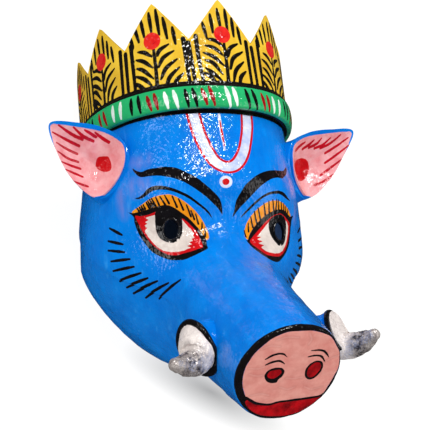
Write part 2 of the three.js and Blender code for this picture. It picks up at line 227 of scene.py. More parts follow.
def edit_only(obj, kind, wanted):
    """Enters edit mode with just the wanted vertices or edges selected."""
    only(obj)
    bpy.ops.object.mode_set(mode="EDIT")
    bpy.ops.mesh.select_mode(type=kind)
    bpy.ops.mesh.select_all(action="DESELECT")
    bpy.ops.object.mode_set(mode="OBJECT")
    parts = obj.data.edges if kind == "EDGE" else obj.data.vertices
    parts.foreach_set("select", wanted)
    bpy.ops.object.mode_set(mode="EDIT")


def close_openings():
    """In edit mode, fills every open edge with faces."""
    bpy.ops.mesh.select_all(action="DESELECT")
    bpy.ops.mesh.select_mode(type="EDGE")
    bpy.ops.mesh.select_non_manifold()
    bpy.ops.mesh.fill()
    bpy.ops.mesh.select_mode(type="VERT")


def sheet_of_rows(name, rows, fill_ends=False):
    """A skin through rows of points: a grid primitive whose points are laid row by row."""
    rows = np.asarray(rows, float)
    down, across = rows.shape[:2]
    bpy.ops.mesh.primitive_grid_add(x_subdivisions=across - 1, y_subdivisions=down - 1, size=1)
    obj = bpy.context.object
    obj.name = obj.data.name = name
    flat = points_of(obj) * MM
    column = np.rint((flat[:, 0] + 0.5) * (across - 1)).astype(int)
    row = np.rint((flat[:, 1] + 0.5) * (down - 1)).astype(int)
    lay_points(obj, rows[row, column])
    only(obj)
    bpy.ops.object.mode_set(mode="EDIT")
    bpy.ops.mesh.select_all(action="SELECT")
    bpy.ops.mesh.remove_doubles(threshold=0.01 * MM)
    if fill_ends:
        close_openings()
    bpy.ops.object.mode_set(mode="OBJECT")
    return obj


def triangles_of(obj):
    obj.data.calc_loop_triangles()
    return len(obj.data.loop_triangles)


def box_of(obj):
    """The corners of the object's box, in millimetres."""
    return points_of(obj).min(0).round(1), points_of(obj).max(0).round(1)


def note(obj, name, values):
    """Keeps a number for each vertex as an attribute, for the material to read."""
    attribute = obj.data.attributes.new(name, "FLOAT", "POINT")
    attribute.data.foreach_set("value", np.asarray(values, np.float32))


def unit(directions):
    """Directions made one long, one in each row."""
    return directions / np.linalg.norm(directions, axis=-1, keepdims=True)


def smooth_step(t):
    t = np.clip(t, 0, 1)
    return t * t * (3 - 2 * t)


# %% [markdown]
# ## The form of the face
#
# A papier-mache head has no sharp joints: the cone of the snout grows out of the cheeks like pulled dough.
# Sculpting that with a brush would be hard to repeat, so the form is written down as a field: a formula
# that is negative inside the form and about the distance in millimetres outside it. One formula gives the
# head, one the snout, and a soft minimum melts them together. The same numbers made the CAD solid.

# %% The field of the head and snout
HEAD_AXIS_Z = 38
FOREHEAD_HALF, CHEEK_HALF = 101.5, 111.5
FOREHEAD_DEPTH, MUZZLE_DEPTH = 113, 84
DOME_TOP_Y, BAND_TOP_Y, BAND_BOTTOM_Y = 155.5, 113.5, 89.5
BROW_Y, CHEEK_Y, EYE_FLOOR_Y, CHIN_Y = 28.5, -28.5, -31.5, -125.5
SECTION_POWER, DOME_POWER, CHIN_POWER = 2.25, 2.5, 1.5
# soft spots beside the middle of the face: across and up, half sizes, depth
EYE_SWELL = (52, -10.5), (30, 28), 6
TEAR_HOLLOW = (21, -33), (15, 15), 4.5
DISC_CENTRE = np.array([0, -167.0, 236.0])
DISC_OUT = np.array([0, -math.sin(math.pi / 4), math.cos(math.pi / 4)])
DISC_UP = np.array([0, math.cos(math.pi / 4), math.sin(math.pi / 4)])
DISC_RADIUS, DISC_EDGE = 46.5, 5
SNOUT_ROOT = np.array([0, -45, 69.5])
SNOUT_ROOT_HALF, SNOUT_ROOT_UP, SNOUT_ROOT_DOWN = 60, 46, 89
SNOUT_FLARE_POWER, SNOUT_BLEND = 0.94, 53
SNOUT_LENGTH = np.linalg.norm(DISC_CENTRE - SNOUT_ROOT)
SNOUT_OUT = (DISC_CENTRE - SNOUT_ROOT) / SNOUT_LENGTH
SNOUT_UP = np.array([0, SNOUT_OUT[2], -SNOUT_OUT[1]])


def squared_ellipse(across, along, power):
    return (np.abs(across) ** power + np.abs(along) ** power) ** (1 / power)


def soft_minimum(a, b, blend):
    h = np.clip(0.5 + 0.5 * (b - a) / blend, 0, 1)
    return b + (a - b) * h - blend * h * (1 - h)


def soft_spot(x, y, at, size, depth):
    """The depth at the same place on both sides of the face, falling away softly."""
    return depth * np.exp(-(((np.abs(x) - at[0]) / size[0]) ** 2) - ((y - at[1]) / size[1]) ** 2)


def head_field(p):
    x, y, z = p[..., 0], p[..., 1], p[..., 2]
    down = smooth_step((BAND_BOTTOM_Y - y) / (BAND_BOTTOM_Y - CHEEK_Y))
    half = FOREHEAD_HALF + (CHEEK_HALF - FOREHEAD_HALF) * down
    sink = smooth_step((BROW_Y - y) / (BROW_Y - EYE_FLOOR_Y))
    depth = FOREHEAD_DEPTH + (MUZZLE_DEPTH - FOREHEAD_DEPTH) * sink
    forward = z - HEAD_AXIS_Z
    section = squared_ellipse(x / half, forward / np.where(forward > 0, depth, half), SECTION_POWER)
    over_band = np.maximum(0, (y - BAND_BOTTOM_Y) / (DOME_TOP_Y - BAND_BOTTOM_Y))
    under_cheek = np.maximum(0, (CHEEK_Y - y) / (CHEEK_Y - CHIN_Y))
    whole = np.where(over_band > 0, squared_ellipse(section, over_band, DOME_POWER),
                     squared_ellipse(section, under_cheek, CHIN_POWER))
    spots = soft_spot(x, y, *TEAR_HOLLOW) - soft_spot(x, y, *EYE_SWELL)
    return (whole - 1) * np.minimum(half, depth) + np.where(forward > 0, spots, 0)


def snout_field(p):
    offset = p - DISC_CENTRE
    flare = np.clip(-(offset @ SNOUT_OUT) / SNOUT_LENGTH, 0, 1.2) ** SNOUT_FLARE_POWER
    half_width = DISC_RADIUS + (SNOUT_ROOT_HALF - DISC_RADIUS) * flare
    up = offset @ SNOUT_UP
    half_height = DISC_RADIUS + (np.where(up > 0, SNOUT_ROOT_UP, SNOUT_ROOT_DOWN) - DISC_RADIUS) * flare
    section = squared_ellipse(offset[..., 0] / half_width, up / half_height, 2)
    flank = (section - 1) * np.minimum(half_width, half_height)
    return -soft_minimum(-flank, -(offset @ DISC_OUT), DISC_EDGE)


def face_field(p):
    return soft_minimum(head_field(p), snout_field(p), SNOUT_BLEND)


print("field at the middle of the disc:", round(float(face_field(DISC_CENTRE)), 2), "mm")


# %% [markdown]
# ## The skin of the face
#
# The skin starts as a sphere whose pole points out through the snout. Every point of it is then pushed
# along its own ray until the field is zero. The rings are spaced evenly along the skin, not by angle, so
# the long snout gets as many faces per centimetre as the cheeks. A sphere was chosen over a subdivided cube
# because its rings run round the snout as the paper strips do.

# %% Rays from the core
CORE_DEPTH = 200
CORE = DISC_CENTRE - CORE_DEPTH * DISC_OUT
AROUND, RINGS, TRIAL_RINGS = 150, 126, 170
WIDEST_POLAR = 3.05
UNDER_FLOOR = 9  # the skin goes on this far below the floor, and is cut there
STEP, STEPS, HALVINGS = 5.0, 70, 18


def ray(polar, turn):
    polar, turn = np.asarray(polar)[..., None], np.asarray(turn)[..., None]
    side = np.array([1.0, 0, 0])
    return np.cos(polar) * DISC_OUT + np.sin(polar) * (np.cos(turn) * DISC_UP + np.sin(turn) * side)


def level_at(direction, distance):
    """The field at this distance from the core along each direction."""
    return face_field(CORE + direction * distance[..., None])


def halved(low, high, direction, times):
    """Halves each stretch again and again round the place where the field passes zero."""
    for _ in range(times):
        middle = (low + high) / 2
        inside = level_at(direction, middle) < 0
        low, high = np.where(inside, middle, low), np.where(inside, high, middle)
    return high


def reach(direction):
    """How far along each direction the skin lies from the core."""
    low = np.zeros(direction.shape[:-1])
    found = np.zeros(low.shape, bool)
    for _ in range(STEPS):
        found |= level_at(direction, low + STEP) >= 0
        low = np.where(found, low, low + STEP)
    return halved(low, low + STEP, direction, HALVINGS)


turns = np.arange(AROUND) / AROUND * 2 * math.pi
trial = np.linspace(0, WIDEST_POLAR, TRIAL_RINGS)
directions = ray(trial[:, None] + 0 * turns, turns + 0 * trial[:, None])
trial_skin = CORE + directions * reach(directions)[..., None]
paces = np.linalg.norm(np.diff(trial_skin, axis=0), axis=2)
lengths = np.vstack([np.zeros(AROUND), np.cumsum(paces, axis=0)])
ring_polars = np.empty((RINGS, AROUND))
for column in range(AROUND):
    below = np.argmax(trial_skin[:, column, 2] < -UNDER_FLOOR) or len(trial) - 1
    wanted = np.linspace(0, lengths[below, column], RINGS)
    ring_polars[:, column] = np.interp(wanted, lengths[:, column], trial)
print("skin, disc to rim:", round(float(lengths[:below].max())), "mm")

# %% Lay the sphere on the field
BALL_RADIUS = 200
BACK_POLE = (0, -20, -14)  # below the floor, where it is cut away
bpy.ops.mesh.primitive_uv_sphere_add(segments=AROUND, ring_count=RINGS, radius=BALL_RADIUS * MM,
                                     location=(0, 0, 0))
face = bpy.context.object
face.name = face.data.name = "face"
ball = points_of(face)
ring = np.rint(np.arccos(np.clip(ball[:, 2] / BALL_RADIUS, -1, 1)) / math.pi * RINGS).astype(int)
wedge = np.rint(np.arctan2(ball[:, 1], ball[:, 0]) / (2 * math.pi) * AROUND).astype(int) % AROUND
directions = ray(ring_polars, turns + 0 * ring_polars)
skin = CORE + directions * reach(directions)[..., None]
laid = skin[np.minimum(ring, RINGS - 1), wedge]
laid[ring == RINGS] = BACK_POLE
lay_points(face, laid)
tidy(face)
cut_at_floor(face)
print("face skin:", triangles_of(face), "triangles, box mm", *box_of(face))

# %% [markdown]
# ## The paper wall and the holes to look through
#
# Real layers of paper make a wall of four or five millimetres, which shows at the rim and in the pupils.
# The Solidify modifier gives the skin that wall inward, so the outside stays where it is. The pupils are
# cut with two elliptical plugs and the Boolean modifier, as the maker cuts them with a knife from the
# front.

# %% Give the face its wall
WALL, RIM_SETTLES = 4.5, 1.2
apply_modifier(face, "SOLIDIFY", thickness=WALL * MM, offset=-1, use_even_offset=True)
set_down(face, RIM_SETTLES)
print("walled face:", triangles_of(face), "triangles")

# %% Cut the pupils
PUPILS = {"left": (-52, -19.5), "right": (57, -22)}
PUPIL_HALF = (6.5, 9)
PLUG_LENGTH, PLUG_HEIGHT = 90, 125
for word, (x, y) in PUPILS.items():
    bpy.ops.mesh.primitive_cylinder_add(vertices=48, radius=1, depth=PLUG_LENGTH * MM,
                                        location=(x * MM, y * MM, PLUG_HEIGHT * MM))
    plug = bpy.context.object
    plug.name = "plug"
    only(plug)
    plug.scale = (PUPIL_HALF[0] * MM, PUPIL_HALF[1] * MM, 1)
    bpy.ops.object.transform_apply(location=True, rotation=True, scale=True)
    apply_modifier(face, "BOOLEAN", object=plug, operation="DIFFERENCE", solver="EXACT")
    bpy.data.objects.remove(plug)
print("face with pupils:", triangles_of(face), "triangles")

# %% [markdown]
# ## The paint, as strokes
#
# The painter works with a round brush: each mark is a line that the brush was led along, thick where it was
# pressed. So every mark here is a short list of places, each with the brush's half width, in millimetres on
# the skin. Across is the way round the head, up is the height. For each colour the distance from each
# vertex to the nearest mark is kept as an attribute, and the material turns it into a crisp edge. No
# picture is used. Filled shapes, such as the eye, are outlines. The skin is cut finer only where an edge of
# paint crosses it.

# %% Marks: lines of the brush and filled shapes
FAR = 9.0  # distances beyond this don't matter
THINNEST = 0.15


def through(points, per_span=5):
    """A smooth line through a few points, by Catmull-Rom."""
    p = np.asarray(points, float)
    if len(p) < 3:
        return p
    p = np.vstack([2 * p[0] - p[1], p, 2 * p[-1] - p[-2]])
    t = np.linspace(0, 1, per_span, endpoint=False)[:, None]
    out = [
        0.5 * (2 * b + (c - a) * t + (2 * a - 5 * b + 4 * c - d) * t**2 + (3 * b - a - 3 * c + d) * t**3)
        for a, b, c, d in zip(p[:-3], p[1:-2], p[2:-1], p[3:])
    ]
    line = np.vstack(out + [p[-2:-1]])
    if line.shape[1] == 3:  # the third number of a stroke is its half width
        line[:, 2] = np.maximum(line[:, 2], THINNEST)
    return line


def to_segments(q, line, wide):
    """The distance of each place to a line whose half width is given at each of its points."""
    best = np.full(len(q), 1e3)
    for i in range(len(line) - 1):
        a, ab = line[i], line[i + 1] - line[i]
        t = np.clip(((q - a) @ ab) / max(ab @ ab, 1e-9), 0, 1)
        d = np.hypot(*(q - a - t[:, None] * ab).T) - (wide[i] + (wide[i + 1] - wide[i]) * t)
        np.minimum(best, d, out=best)
    return best


def stroke(points, half=None):
    """A line of the brush. Without half, each point carries its own half width."""
    points = np.asarray(points, float)
    if half is not None:
        width = np.full(len(points), half) if np.isscalar(half) else np.asarray(half)
        points = np.column_stack([points, width])
    return ("stroke", through(points))


def dab(x0, y0, x1, y1, half, tail=0.35):
    """One press of the brush: it lands, swells and leaves in a point."""
    at = np.array([[0, tail], [0.3, 1], [0.65, 0.9], [1, tail]])
    x, y = x0 + (x1 - x0) * at[:, 0], y0 + (y1 - y0) * at[:, 0]
    return ("stroke", np.column_stack([x, y, half * at[:, 1]]))


def patch(points, rounded=True):
    """A filled shape with this outline."""
    p = np.asarray(points, float)
    if rounded:
        p = through(np.vstack([p[-1], p, p[0], p[1]]))[5:-5]
        p = p[:-1] if np.allclose(p[0], p[-1]) else p
    return ("patch", p)


def oval(x, y, half_x, half_y, lean=0.0):
    angle = np.linspace(0, 2 * math.pi, 28, endpoint=False)
    along, over = half_x * np.cos(angle), half_y * np.sin(angle)
    c, s = math.cos(math.radians(lean)), math.sin(math.radians(lean))
    return ("patch", np.column_stack([x + c * along - s * over, y + s * along + c * over]))


def distance_to(marks, at):
    """For each row of at, how far outside the nearest mark it lies; negative inside. Capped at FAR."""
    out = np.full(len(at), FAR)
    for kind, line in marks:
        margin = FAR + (line[:, 2].max() if kind == "stroke" else 0)
        low, high = line[:, :2].min(0) - margin, line[:, :2].max(0) + margin
        near = np.flatnonzero(((at > low) & (at < high)).all(1))
        if not len(near):
            continue
        q = at[near]
        if kind == "stroke":
            d = to_segments(q, line[:, :2], line[:, 2])
        else:
            closed = np.vstack([line, line[:1]])
            d = to_segments(q, closed, np.zeros(len(closed)))
            inside = np.zeros(len(q), bool)
            for (ax, ay), (bx, by) in zip(closed[:-1], closed[1:]):
                if ay != by:
                    cross = (ay > q[:, 1]) != (by > q[:, 1])
                    inside ^= cross & (q[:, 0] < (bx - ax) * (q[:, 1] - ay) / (by - ay) + ax)
            d = np.where(inside, -d, d)
        out[near] = np.minimum(out[near], d)
    return out


def mirrored(marks):
    """The same marks on the other side of the face."""
    flip = []
    for kind, line in marks:
        line = line.copy()
        line[:, 0] *= -1
        flip.append((kind, line))
    return flip


# %% Marks of the brows, creases and eyes
BROW_LEFT = [(-79.6, 43, 0.3), (-76, 38.3, 1.4), (-71, 34.9, 2.6), (-64.5, 35.2, 3.5), (-57.5, 34.5, 3.8),
             (-51, 33.5, 4.6), (-43.3, 30.8, 5), (-37, 27, 4.6), (-30.5, 22.5, 4.6), (-21.7, 15, 4.1),
             (-15, 9.2, 3.8), (-9.5, 4, 3.6), (-6, -1, 2.3), (-3.3, -8, 0.3)]
BROW_RIGHT = [(7.1, -10), (8.3, -5), (9.6, 3.3), (12.5, 10), (16.7, 17.5), (21.7, 22.5), (28.3, 27.9),
              (36.7, 32.1), (46.7, 35), (56.7, 36.7), (64.2, 38.3), (72, 44), (70, 37), (63.3, 31.7),
              (58.3, 28.8), (51.7, 28.3), (45, 26.3), (38.3, 22.5), (31.7, 17.5), (25, 10), (20, 4.2),
              (14.2, -1.7)]
CREASE_LEFT = [(-79.2, 13.5, 0.3), (-74.2, 12.9, 1.1), (-69.2, 15, 1.7), (-65, 17.9, 2.2), (-60, 19, 2.1),
               (-53.3, 17.9, 1.7), (-46.7, 15.4, 1.4), (-40, 11.7, 1.3), (-33.3, 7.5, 1.2), (-27.5, 2.9, 1.1),
               (-21.7, -1.7, 1), (-16.7, -6.3, 0.8), (-12.9, -12.1, 0.3)]
CREASE_RIGHT = [(15.4, -10.4, 0.4), (20, -5.8, 0.9), (24.2, -1.7, 1.1), (28.3, 2.5, 1.1), (34.2, 7.5, 1.1),
                (40, 10.8, 1.2), (46.7, 12.9, 1.3), (53.3, 13.8, 1.6), (60, 12.5, 1.8), (65.8, 10.4, 1.2),
                (70.8, 9.2, 0.3)]
LID_LEFT = [(-83.8, 2.1), (-78.3, 4.6), (-71.7, 7.5), (-65, 10.4), (-60, 11.5), (-53.3, 11.7), (-48.3, 11),
            (-41.7, 7.1), (-35, 1.7), (-29.2, -4.2), (-24.2, -10.8), (-20.8, -17.5), (-18.8, -23.3),
            (-18.8, -29.2), (-21.3, -31.3), (-22.5, -29), (-28, -22), (-36, -12), (-44, -5), (-54, 0),
            (-64, 0), (-74, -1), (-82, 0)]
LASHES_LEFT = [(-77.1, 1, -78.5, 4), (-75, 1.3, -76.3, 4.6), (-73.2, 1.7, -74.3, 5.2),
               (-71.3, 2.1, -72.3, 5.8), (-67.7, 2.5, -69.2, 7.1), (-65.8, 2.7, -67.5, 7.9),
               (-63.8, 3.1, -65.8, 8.8), (-61.7, 2.9, -64, 9.3), (-58.8, 3.3, -60.4, 10),
               (-53.8, 2.9, -56.7, 9.6), (-50.4, 3.3, -52.7, 10), (-44.3, -0.4, -46.7, 8.3),
               (-39.2, -3.3, -41.8, 5.4), (-33.3, -9.2, -35.8, -0.4), (-30.4, -11.7, -32.5, -5),
               (-27.1, -15.8, -28.6, -8.3), (-24.2, -21, -23.6, -15.4), (-22.1, -27.3, -21.2, -20)]
EYE_BLACK_LEFT = [(-88.5, 3.2), (-84.5, 1.2), (-80, 0.6), (-71.7, 0.8), (-65.8, 1.7), (-60, 2.3),
                  (-55, 2.5), (-50, 1.3), (-45, -2.1), (-40.8, -5.8), (-35.8, -10), (-30.8, -15.8),
                  (-26.7, -20.8), (-23.8, -25.8), (-21.7, -30), (-21.9, -36.5), (-21.7, -39.6), (-25, -42),
                  (-30, -44.6), (-35.8, -47.1), (-42.5, -49.2), (-48.3, -48.8), (-55, -47.5),
                  (-60.8, -44.6), (-66.7, -40.8), (-71.7, -36.3), (-75.8, -30), (-79.2, -23.3),
                  (-81.7, -16.7), (-83.3, -8.3), (-83.3, -2.2)]
EYE_OPEN_LEFT = [(-81.6, -2.3), (-76.7, -3.5), (-70, -3.7), (-63.3, -2.4), (-58.3, -2.1), (-50, -5),
                 (-43.3, -9.6), (-39.2, -11.7), (-34.2, -16.7), (-30, -21.7), (-27.5, -27.5), (-26.2, -33),
                 (-25.8, -38.3), (-30, -40), (-35.8, -41.7), (-41.7, -42.9), (-47.5, -43.8), (-53.3, -43.3),
                 (-58.3, -41.3), (-63.3, -37.5), (-67.5, -33.3), (-71.7, -28.3), (-75, -22.5),
                 (-77.5, -16.7), (-79.6, -10)]
EYE_WHITE_LEFT = [(-61.5, -4.6), (-66, -5.1), (-71, -5.6), (-72.4, -6.4), (-69.4, -8.1), (-73.8, -9.6),
                  (-71.4, -11.4), (-74.7, -12.4), (-72.8, -15), (-75.3, -17.5), (-73, -22.9),
                  (-69.5, -28.6), (-65.2, -34.2), (-60, -38.2), (-54, -40.2), (-47.5, -40.8), (-42, -40.3),
                  (-39.2, -39.2), (-35.5, -38.4), (-40, -36.2), (-34.5, -34.9), (-37.4, -32.8),
                  (-33.6, -31.4), (-34.8, -29.3), (-31.8, -28.2), (-33.2, -25.8), (-31.8, -24.3),
                  (-35.4, -19.6), (-39.3, -14.4), (-41.8, -10.8), (-46, -7), (-54, -4)]
IRIS_LEFT = [(-62.3, -2), (-64.2, -8), (-65, -14), (-64.8, -20), (-63, -25), (-59.5, -28.7), (-54.5, -30.7),
             (-50, -30.8), (-46, -28), (-42.8, -22.5), (-41.5, -16.5), (-41.4, -10.5), (-44, -6), (-52, -1)]
LID_RIGHT = [(17, -28), (17.9, -25), (19.6, -19.2), (22.5, -13.3), (26.7, -7.5), (31.7, -2.5), (38.3, 2.5),
             (45, 5), (51.7, 5.8), (58.3, 5), (65, 2.5), (70.8, -0.8), (75.8, -5), (74, -7), (68, -5),
             (60, -3), (52, -4), (45, -7), (38, -11), (30, -18), (24, -25), (19.2, -31.7)]
LASHES_RIGHT = [(18.2, -28.5, 18.2, -23.3), (22.7, -23.3, 22.9, -16.7), (27.5, -19.5, 25.3, -11.3),
                (31.3, -15.4, 28.6, -6.5), (34.9, -12, 31.8, -3.2), (39.6, -8.6, 36.9, 1),
                (43.3, -5.8, 41.6, 3.1), (48.2, -3.6, 45.9, 4.9), (50.6, -2.5, 50.2, 5.7),
                (54.2, -1.9, 52.6, 5.5), (58, -1.4, 56.8, 4.6), (61.6, -1.8, 60.6, 3.9),
                (64.8, -2.6, 64.4, 2.4), (68, -3.6, 68.2, 0.6)]
EYE_BLACK_RIGHT = [(17.1, -32.5), (19.2, -31.7), (22.7, -26.7), (28.3, -19.7), (35, -12.5), (41.7, -7.1),
                   (48.3, -3.8), (55, -1.7), (61.7, -1.7), (68.3, -3.8), (74, -5.5), (80.5, -3.2),
                   (78.5, -8), (78, -14), (77.1, -21.7), (74.2, -30), (70, -36.7), (64.2, -43.3),
                   (56.7, -48.3), (48.3, -52.5), (40.8, -54.2), (34.2, -53.3), (27.5, -50), (22.5, -45),
                   (19.2, -39.2)]
EYE_OPEN_RIGHT = [(20.6, -33.5), (24.2, -29.6), (30, -24.6), (36.7, -18.3), (43.3, -11.7), (50, -7.5),
                  (57, -5.4), (63.3, -6.9), (70, -9.6), (74.6, -12), (75, -20), (71.7, -28.5),
                  (66.7, -36.7), (61.7, -42), (53.3, -46.5), (45, -47.9), (36.7, -48.1), (30.8, -47.1),
                  (26.7, -43.3), (22.5, -38.3)]
EYE_WHITE_RIGHT = [(32, -26.8), (38, -21), (42.6, -15.8), (46, -12), (54, -8), (62, -8.4), (68.5, -11.4),
                   (71.5, -14.5), (72.6, -20), (69.8, -28), (65, -35.5), (60.3, -40.3), (53, -43.6),
                   (45, -44.8), (37.5, -44.7), (33, -43.5), (30.5, -41), (29.5, -39.6), (34.2, -37.2),
                   (28.8, -35.2), (34.6, -33), (29.4, -31), (35, -28.4), (29.8, -28.2)]
IRIS_RIGHT = [(44.3, -13), (44, -20), (45.5, -26), (48.5, -31.5), (52.5, -35.4), (56, -36), (62, -34.2),
              (66.5, -29), (68.6, -22), (68, -14), (65, -9), (58, -6), (50, -8)]

# %% Marks of the forehead, the whiskers and the snout's disc
TILAK = [(-23.5, 88), (-21.5, 75), (-18.8, 62.5), (-14.4, 50), (-9.8, 40.6), (-4.2, 35.8), (2, 34.2),
         (8.2, 36.2), (13.2, 41.4), (17.8, 50), (21.7, 62.5), (24.2, 75), (25.3, 88)]
WHISKERS_LEFT = [(-97.5, -16.3, -108.8, -7.5), (-98, -25, -112, -18.8), (-97.5, -32.5, -113, -27.5),
                 (-93.3, -40, -112.5, -38), (-90.8, -47.5, -113.3, -46.8), (-85, -54.3, -112.5, -56.3),
                 (-78.8, -60, -107, -63), (-69.5, -64.5, -101.3, -69.3), (-58.8, -68.3, -87.5, -75.5),
                 (-47.5, -68, -70.8, -79.3)]
SMUDGES = [(-76, 24, 12, 9), (-72, 48, 9, 6), (68, 42, 8, 9), (74, 20, 7, 9), (84, 2, 8, 12),
           (-92, 12, 5, 14)]
DISC_PINK = [(-39.8, 6), (-38, 13.5), (-34.3, 21.8), (-28.5, 29.3), (-20.2, 36), (-10.2, 40.2), (0.7, 40.6),
             (12.3, 40.2), (24, 36.4), (30.7, 31.8), (36.2, 24.4), (40, 19.3), (42.3, 13.8), (43.5, 6),
             (43.6, 1), (41.6, -7), (38.6, -16), (35.8, -23.5), (28, -30), (-18, -33), (-31, -24.8),
             (-36.6, -15), (-39.6, -5)]
LIP = [(-33, -22, 0.7), (-30, -24.8, 1.3), (-22.7, -29, 1.3), (-14.3, -31.1, 1.2), (-9.3, -31, 1.1),
       (-1.8, -29.4, 1.1), (10.7, -29, 1.2), (19, -28.3, 1.2), (29.8, -27.3, 1.1), (34, -26, 1.1),
       (38.3, -22.4, 0.8)]
MOUTH = [(-30, -24.8), (-22.7, -29), (-14.3, -31.1), (-1.8, -29.2), (10.7, -29), (29.8, -27.3), (35.5, -24.8),
         (32.9, -30), (26.2, -37.8), (19.2, -41.6), (10.7, -44.2), (0.7, -45), (-9.8, -43.8), (-20.4, -40.4),
         (-28.4, -34.4), (-33, -27.5)]
NOSTRIL_LINES = [
    [(-22.7, 9.2, 0.7), (-18.5, 11.4, 1.1), (-12.7, 12.5, 1.1), (-9.3, 11.4, 0.9), (-6.4, 9.2, 0.4)],
    [(-24.2, 15, 0.6), (-19.3, 18.1, 1.1), (-14.3, 19.6, 1), (-9.3, 18.9, 0.8), (-5.6, 15.8, 0.3)],
    [(13, 15, 0.6), (19, 16, 0.9), (24, 15, 1), (27.3, 11.8, 0.8), (29.7, 8.1, 0.3)],
    [(14.4, 21, 0.5), (20.7, 21.2, 0.9), (25.7, 19.8, 1), (29, 16.8, 0.9), (32.3, 12.5, 0.3)],
]
NOSTRIL_BLACK_LEFT = [(-21.6, -2), (-20.4, 2.6), (-16.6, 5.2), (-12, 6.1), (-7.6, 5), (-4.8, 1.8),
                      (-5.6, -2.6), (-8.6, -6.2), (-9.4, -8.8), (-13.4, -9.4), (-18.2, -7.6)]
NOSTRIL_RED_LEFT = [(-19.2, -1.4), (-17.8, 2.2), (-13.6, 3.7), (-9, 3.6), (-7.4, 0.8), (-9.2, -2.2),
                    (-12.2, -4.6), (-16.6, -4.4)]
NOSTRIL_BLACK_RIGHT = [(13.8, -2), (14, 3.4), (16.8, 8.2), (21.4, 10.6), (26.6, 9.2), (28.8, 4.6), (28, -1.4),
                       (24.8, -6.6), (20, -8.6), (15.8, -6.4)]
NOSTRIL_RED_RIGHT = [(15.8, -1.4), (16, 3), (18.4, 7), (21.8, 8.7), (25.6, 7.4), (27, 3.8), (26, -0.8),
                     (23.4, -4.9), (19.8, -6.4), (17, -4.8)]
# the disc's creases: a painted highlight is laid along each line and painted shade round it
CREASE_LIGHT_AND_SHADE_LINES = [
    [(-18, 33), (-9.4, 35.2), (0.3, 34.4)], [(-30, 25), (-22, 27.5), (-14, 26.6)],
    [(-36.7, 7), (-29, 6), (-23.5, 7.4)], [(-35, 1), (-28, -1.4), (-22.5, -0.6)],
    [(-1.9, -5.3), (5.4, -6.6), (12.6, -5.6)], [(30, 9), (36, 12.5), (42, 14)],
    [(-30, -21), (-22, -19.4), (-13.7, -21.4)], [(9, 38), (12, 32), (10.5, 27)],
    [(17, -16), (24, -19), (33, -17)], [(-6, -14), (2, -17), (8, -15.4)],
]

# %% Sort the marks of the face by layer, lowest paint first
LASH_HALF, LASH_LONGER = 0.86, 0.15
WHISKER_HALF, WHISKER_LONGER, WHISKER_TAIL = 1.5, 0.05, 0.62


def longer(x0, y0, x1, y1, share):
    """Where the mark ends when it is drawn out by this share."""
    return x1 + share * (x1 - x0), y1 + share * (y1 - y0)


def lash(*ends):
    root, tip = ends[:2], longer(*ends, LASH_LONGER)
    return ("stroke", np.array([[*root, LASH_HALF * 1.15], [*tip, LASH_HALF * 0.7]]))


def whisker(*ends):
    return dab(*ends[:2], *longer(*ends, WHISKER_LONGER), WHISKER_HALF, WHISKER_TAIL)


lashes = [lash(*row) for row in LASHES_LEFT + LASHES_RIGHT]
whiskers = [whisker(*row) for row in WHISKERS_LEFT]
FACE_LAYERS = {
    "orange": [patch(LID_LEFT), patch(LID_RIGHT)],
    "red_under": [stroke(TILAK, 6.2)],
    "lilac": [stroke(TILAK, 4.1), stroke([(-1.2, 86), (-0.6, 70), (0.5, 51)], (1.2, 1.45, 0.8)),
              oval(-1, 20.2, 5.8, 5.6)],
    "black": [stroke(BROW_LEFT), patch(BROW_RIGHT), stroke(CREASE_LEFT), stroke(CREASE_RIGHT),
              patch(EYE_BLACK_LEFT), patch(EYE_BLACK_RIGHT), *lashes, *whiskers, *mirrored(whiskers)],
    "red": [patch(EYE_OPEN_LEFT), patch(EYE_OPEN_RIGHT),
            stroke([(-0.8, 80), (-0.2, 68), (0.5, 55)], (0.5, 0.95, 0.5)), oval(-1, 20.2, 3.2, 3)],
    "white": [patch(EYE_WHITE_LEFT, False), patch(EYE_WHITE_RIGHT, False)],
    "black_over": [patch(IRIS_LEFT), patch(IRIS_RIGHT)],
}
DISC_LAYERS = {
    "pink": [patch(DISC_PINK)],
    "black": [patch(NOSTRIL_BLACK_LEFT), patch(NOSTRIL_BLACK_RIGHT),
              *(stroke(line) for line in NOSTRIL_LINES)],
    # the deeper red of the mouth and nostrils is partly their own darker paint, partly painted shade over
    # them
    "deep_red": [patch(MOUTH), patch(NOSTRIL_RED_LEFT), patch(NOSTRIL_RED_RIGHT)],
    "crease": [stroke(line, 0.2) for line in CREASE_LIGHT_AND_SHADE_LINES],
    "black_over": [stroke(LIP)],
}
FACE_PAINTS = ["pink", "crease", "orange", "red_under", "lilac", "black", "red", "deep_red", "white",
               "black_over"]
print("marks on the face:", sum(map(len, FACE_LAYERS.values())) + sum(map(len, DISC_LAYERS.values())))


# %% [markdown]
# ## Putting the marks on the skin
#
# Each vertex of the outside gets its chart coordinates, then its distance to each colour's marks. Edges
# near a boundary of paint are selected and subdivided, and the new vertices are pushed back onto the field,
# three times over, until the cells there are about a millimetre long. This is like a sculptor's dynamic
# detail, but it happens only where a brush went.

# %% Measure the paint on the face and refine the skin
PER_RADIAN = 100  # millimetres of the chart for a radian round the head
DISC_PAINT_DEEP, DISC_PAINT_WIDE = 9, 4  # the disc's own marks reach this far behind it and beyond it
RING_WIDE = 7
RING_DEEP, RING_DEEPER_ABOVE, RING_RAMP = 2.0, 2.2, 30
LINE_UNDER_BAND = 2.2
NEAR_SKIN, HALVINGS_NEAR = 6, 16


def face_chart(points):
    return np.column_stack([PER_RADIAN * np.arctan2(points[:, 0], points[:, 2] - HEAD_AXIS_Z), points[:, 1]])


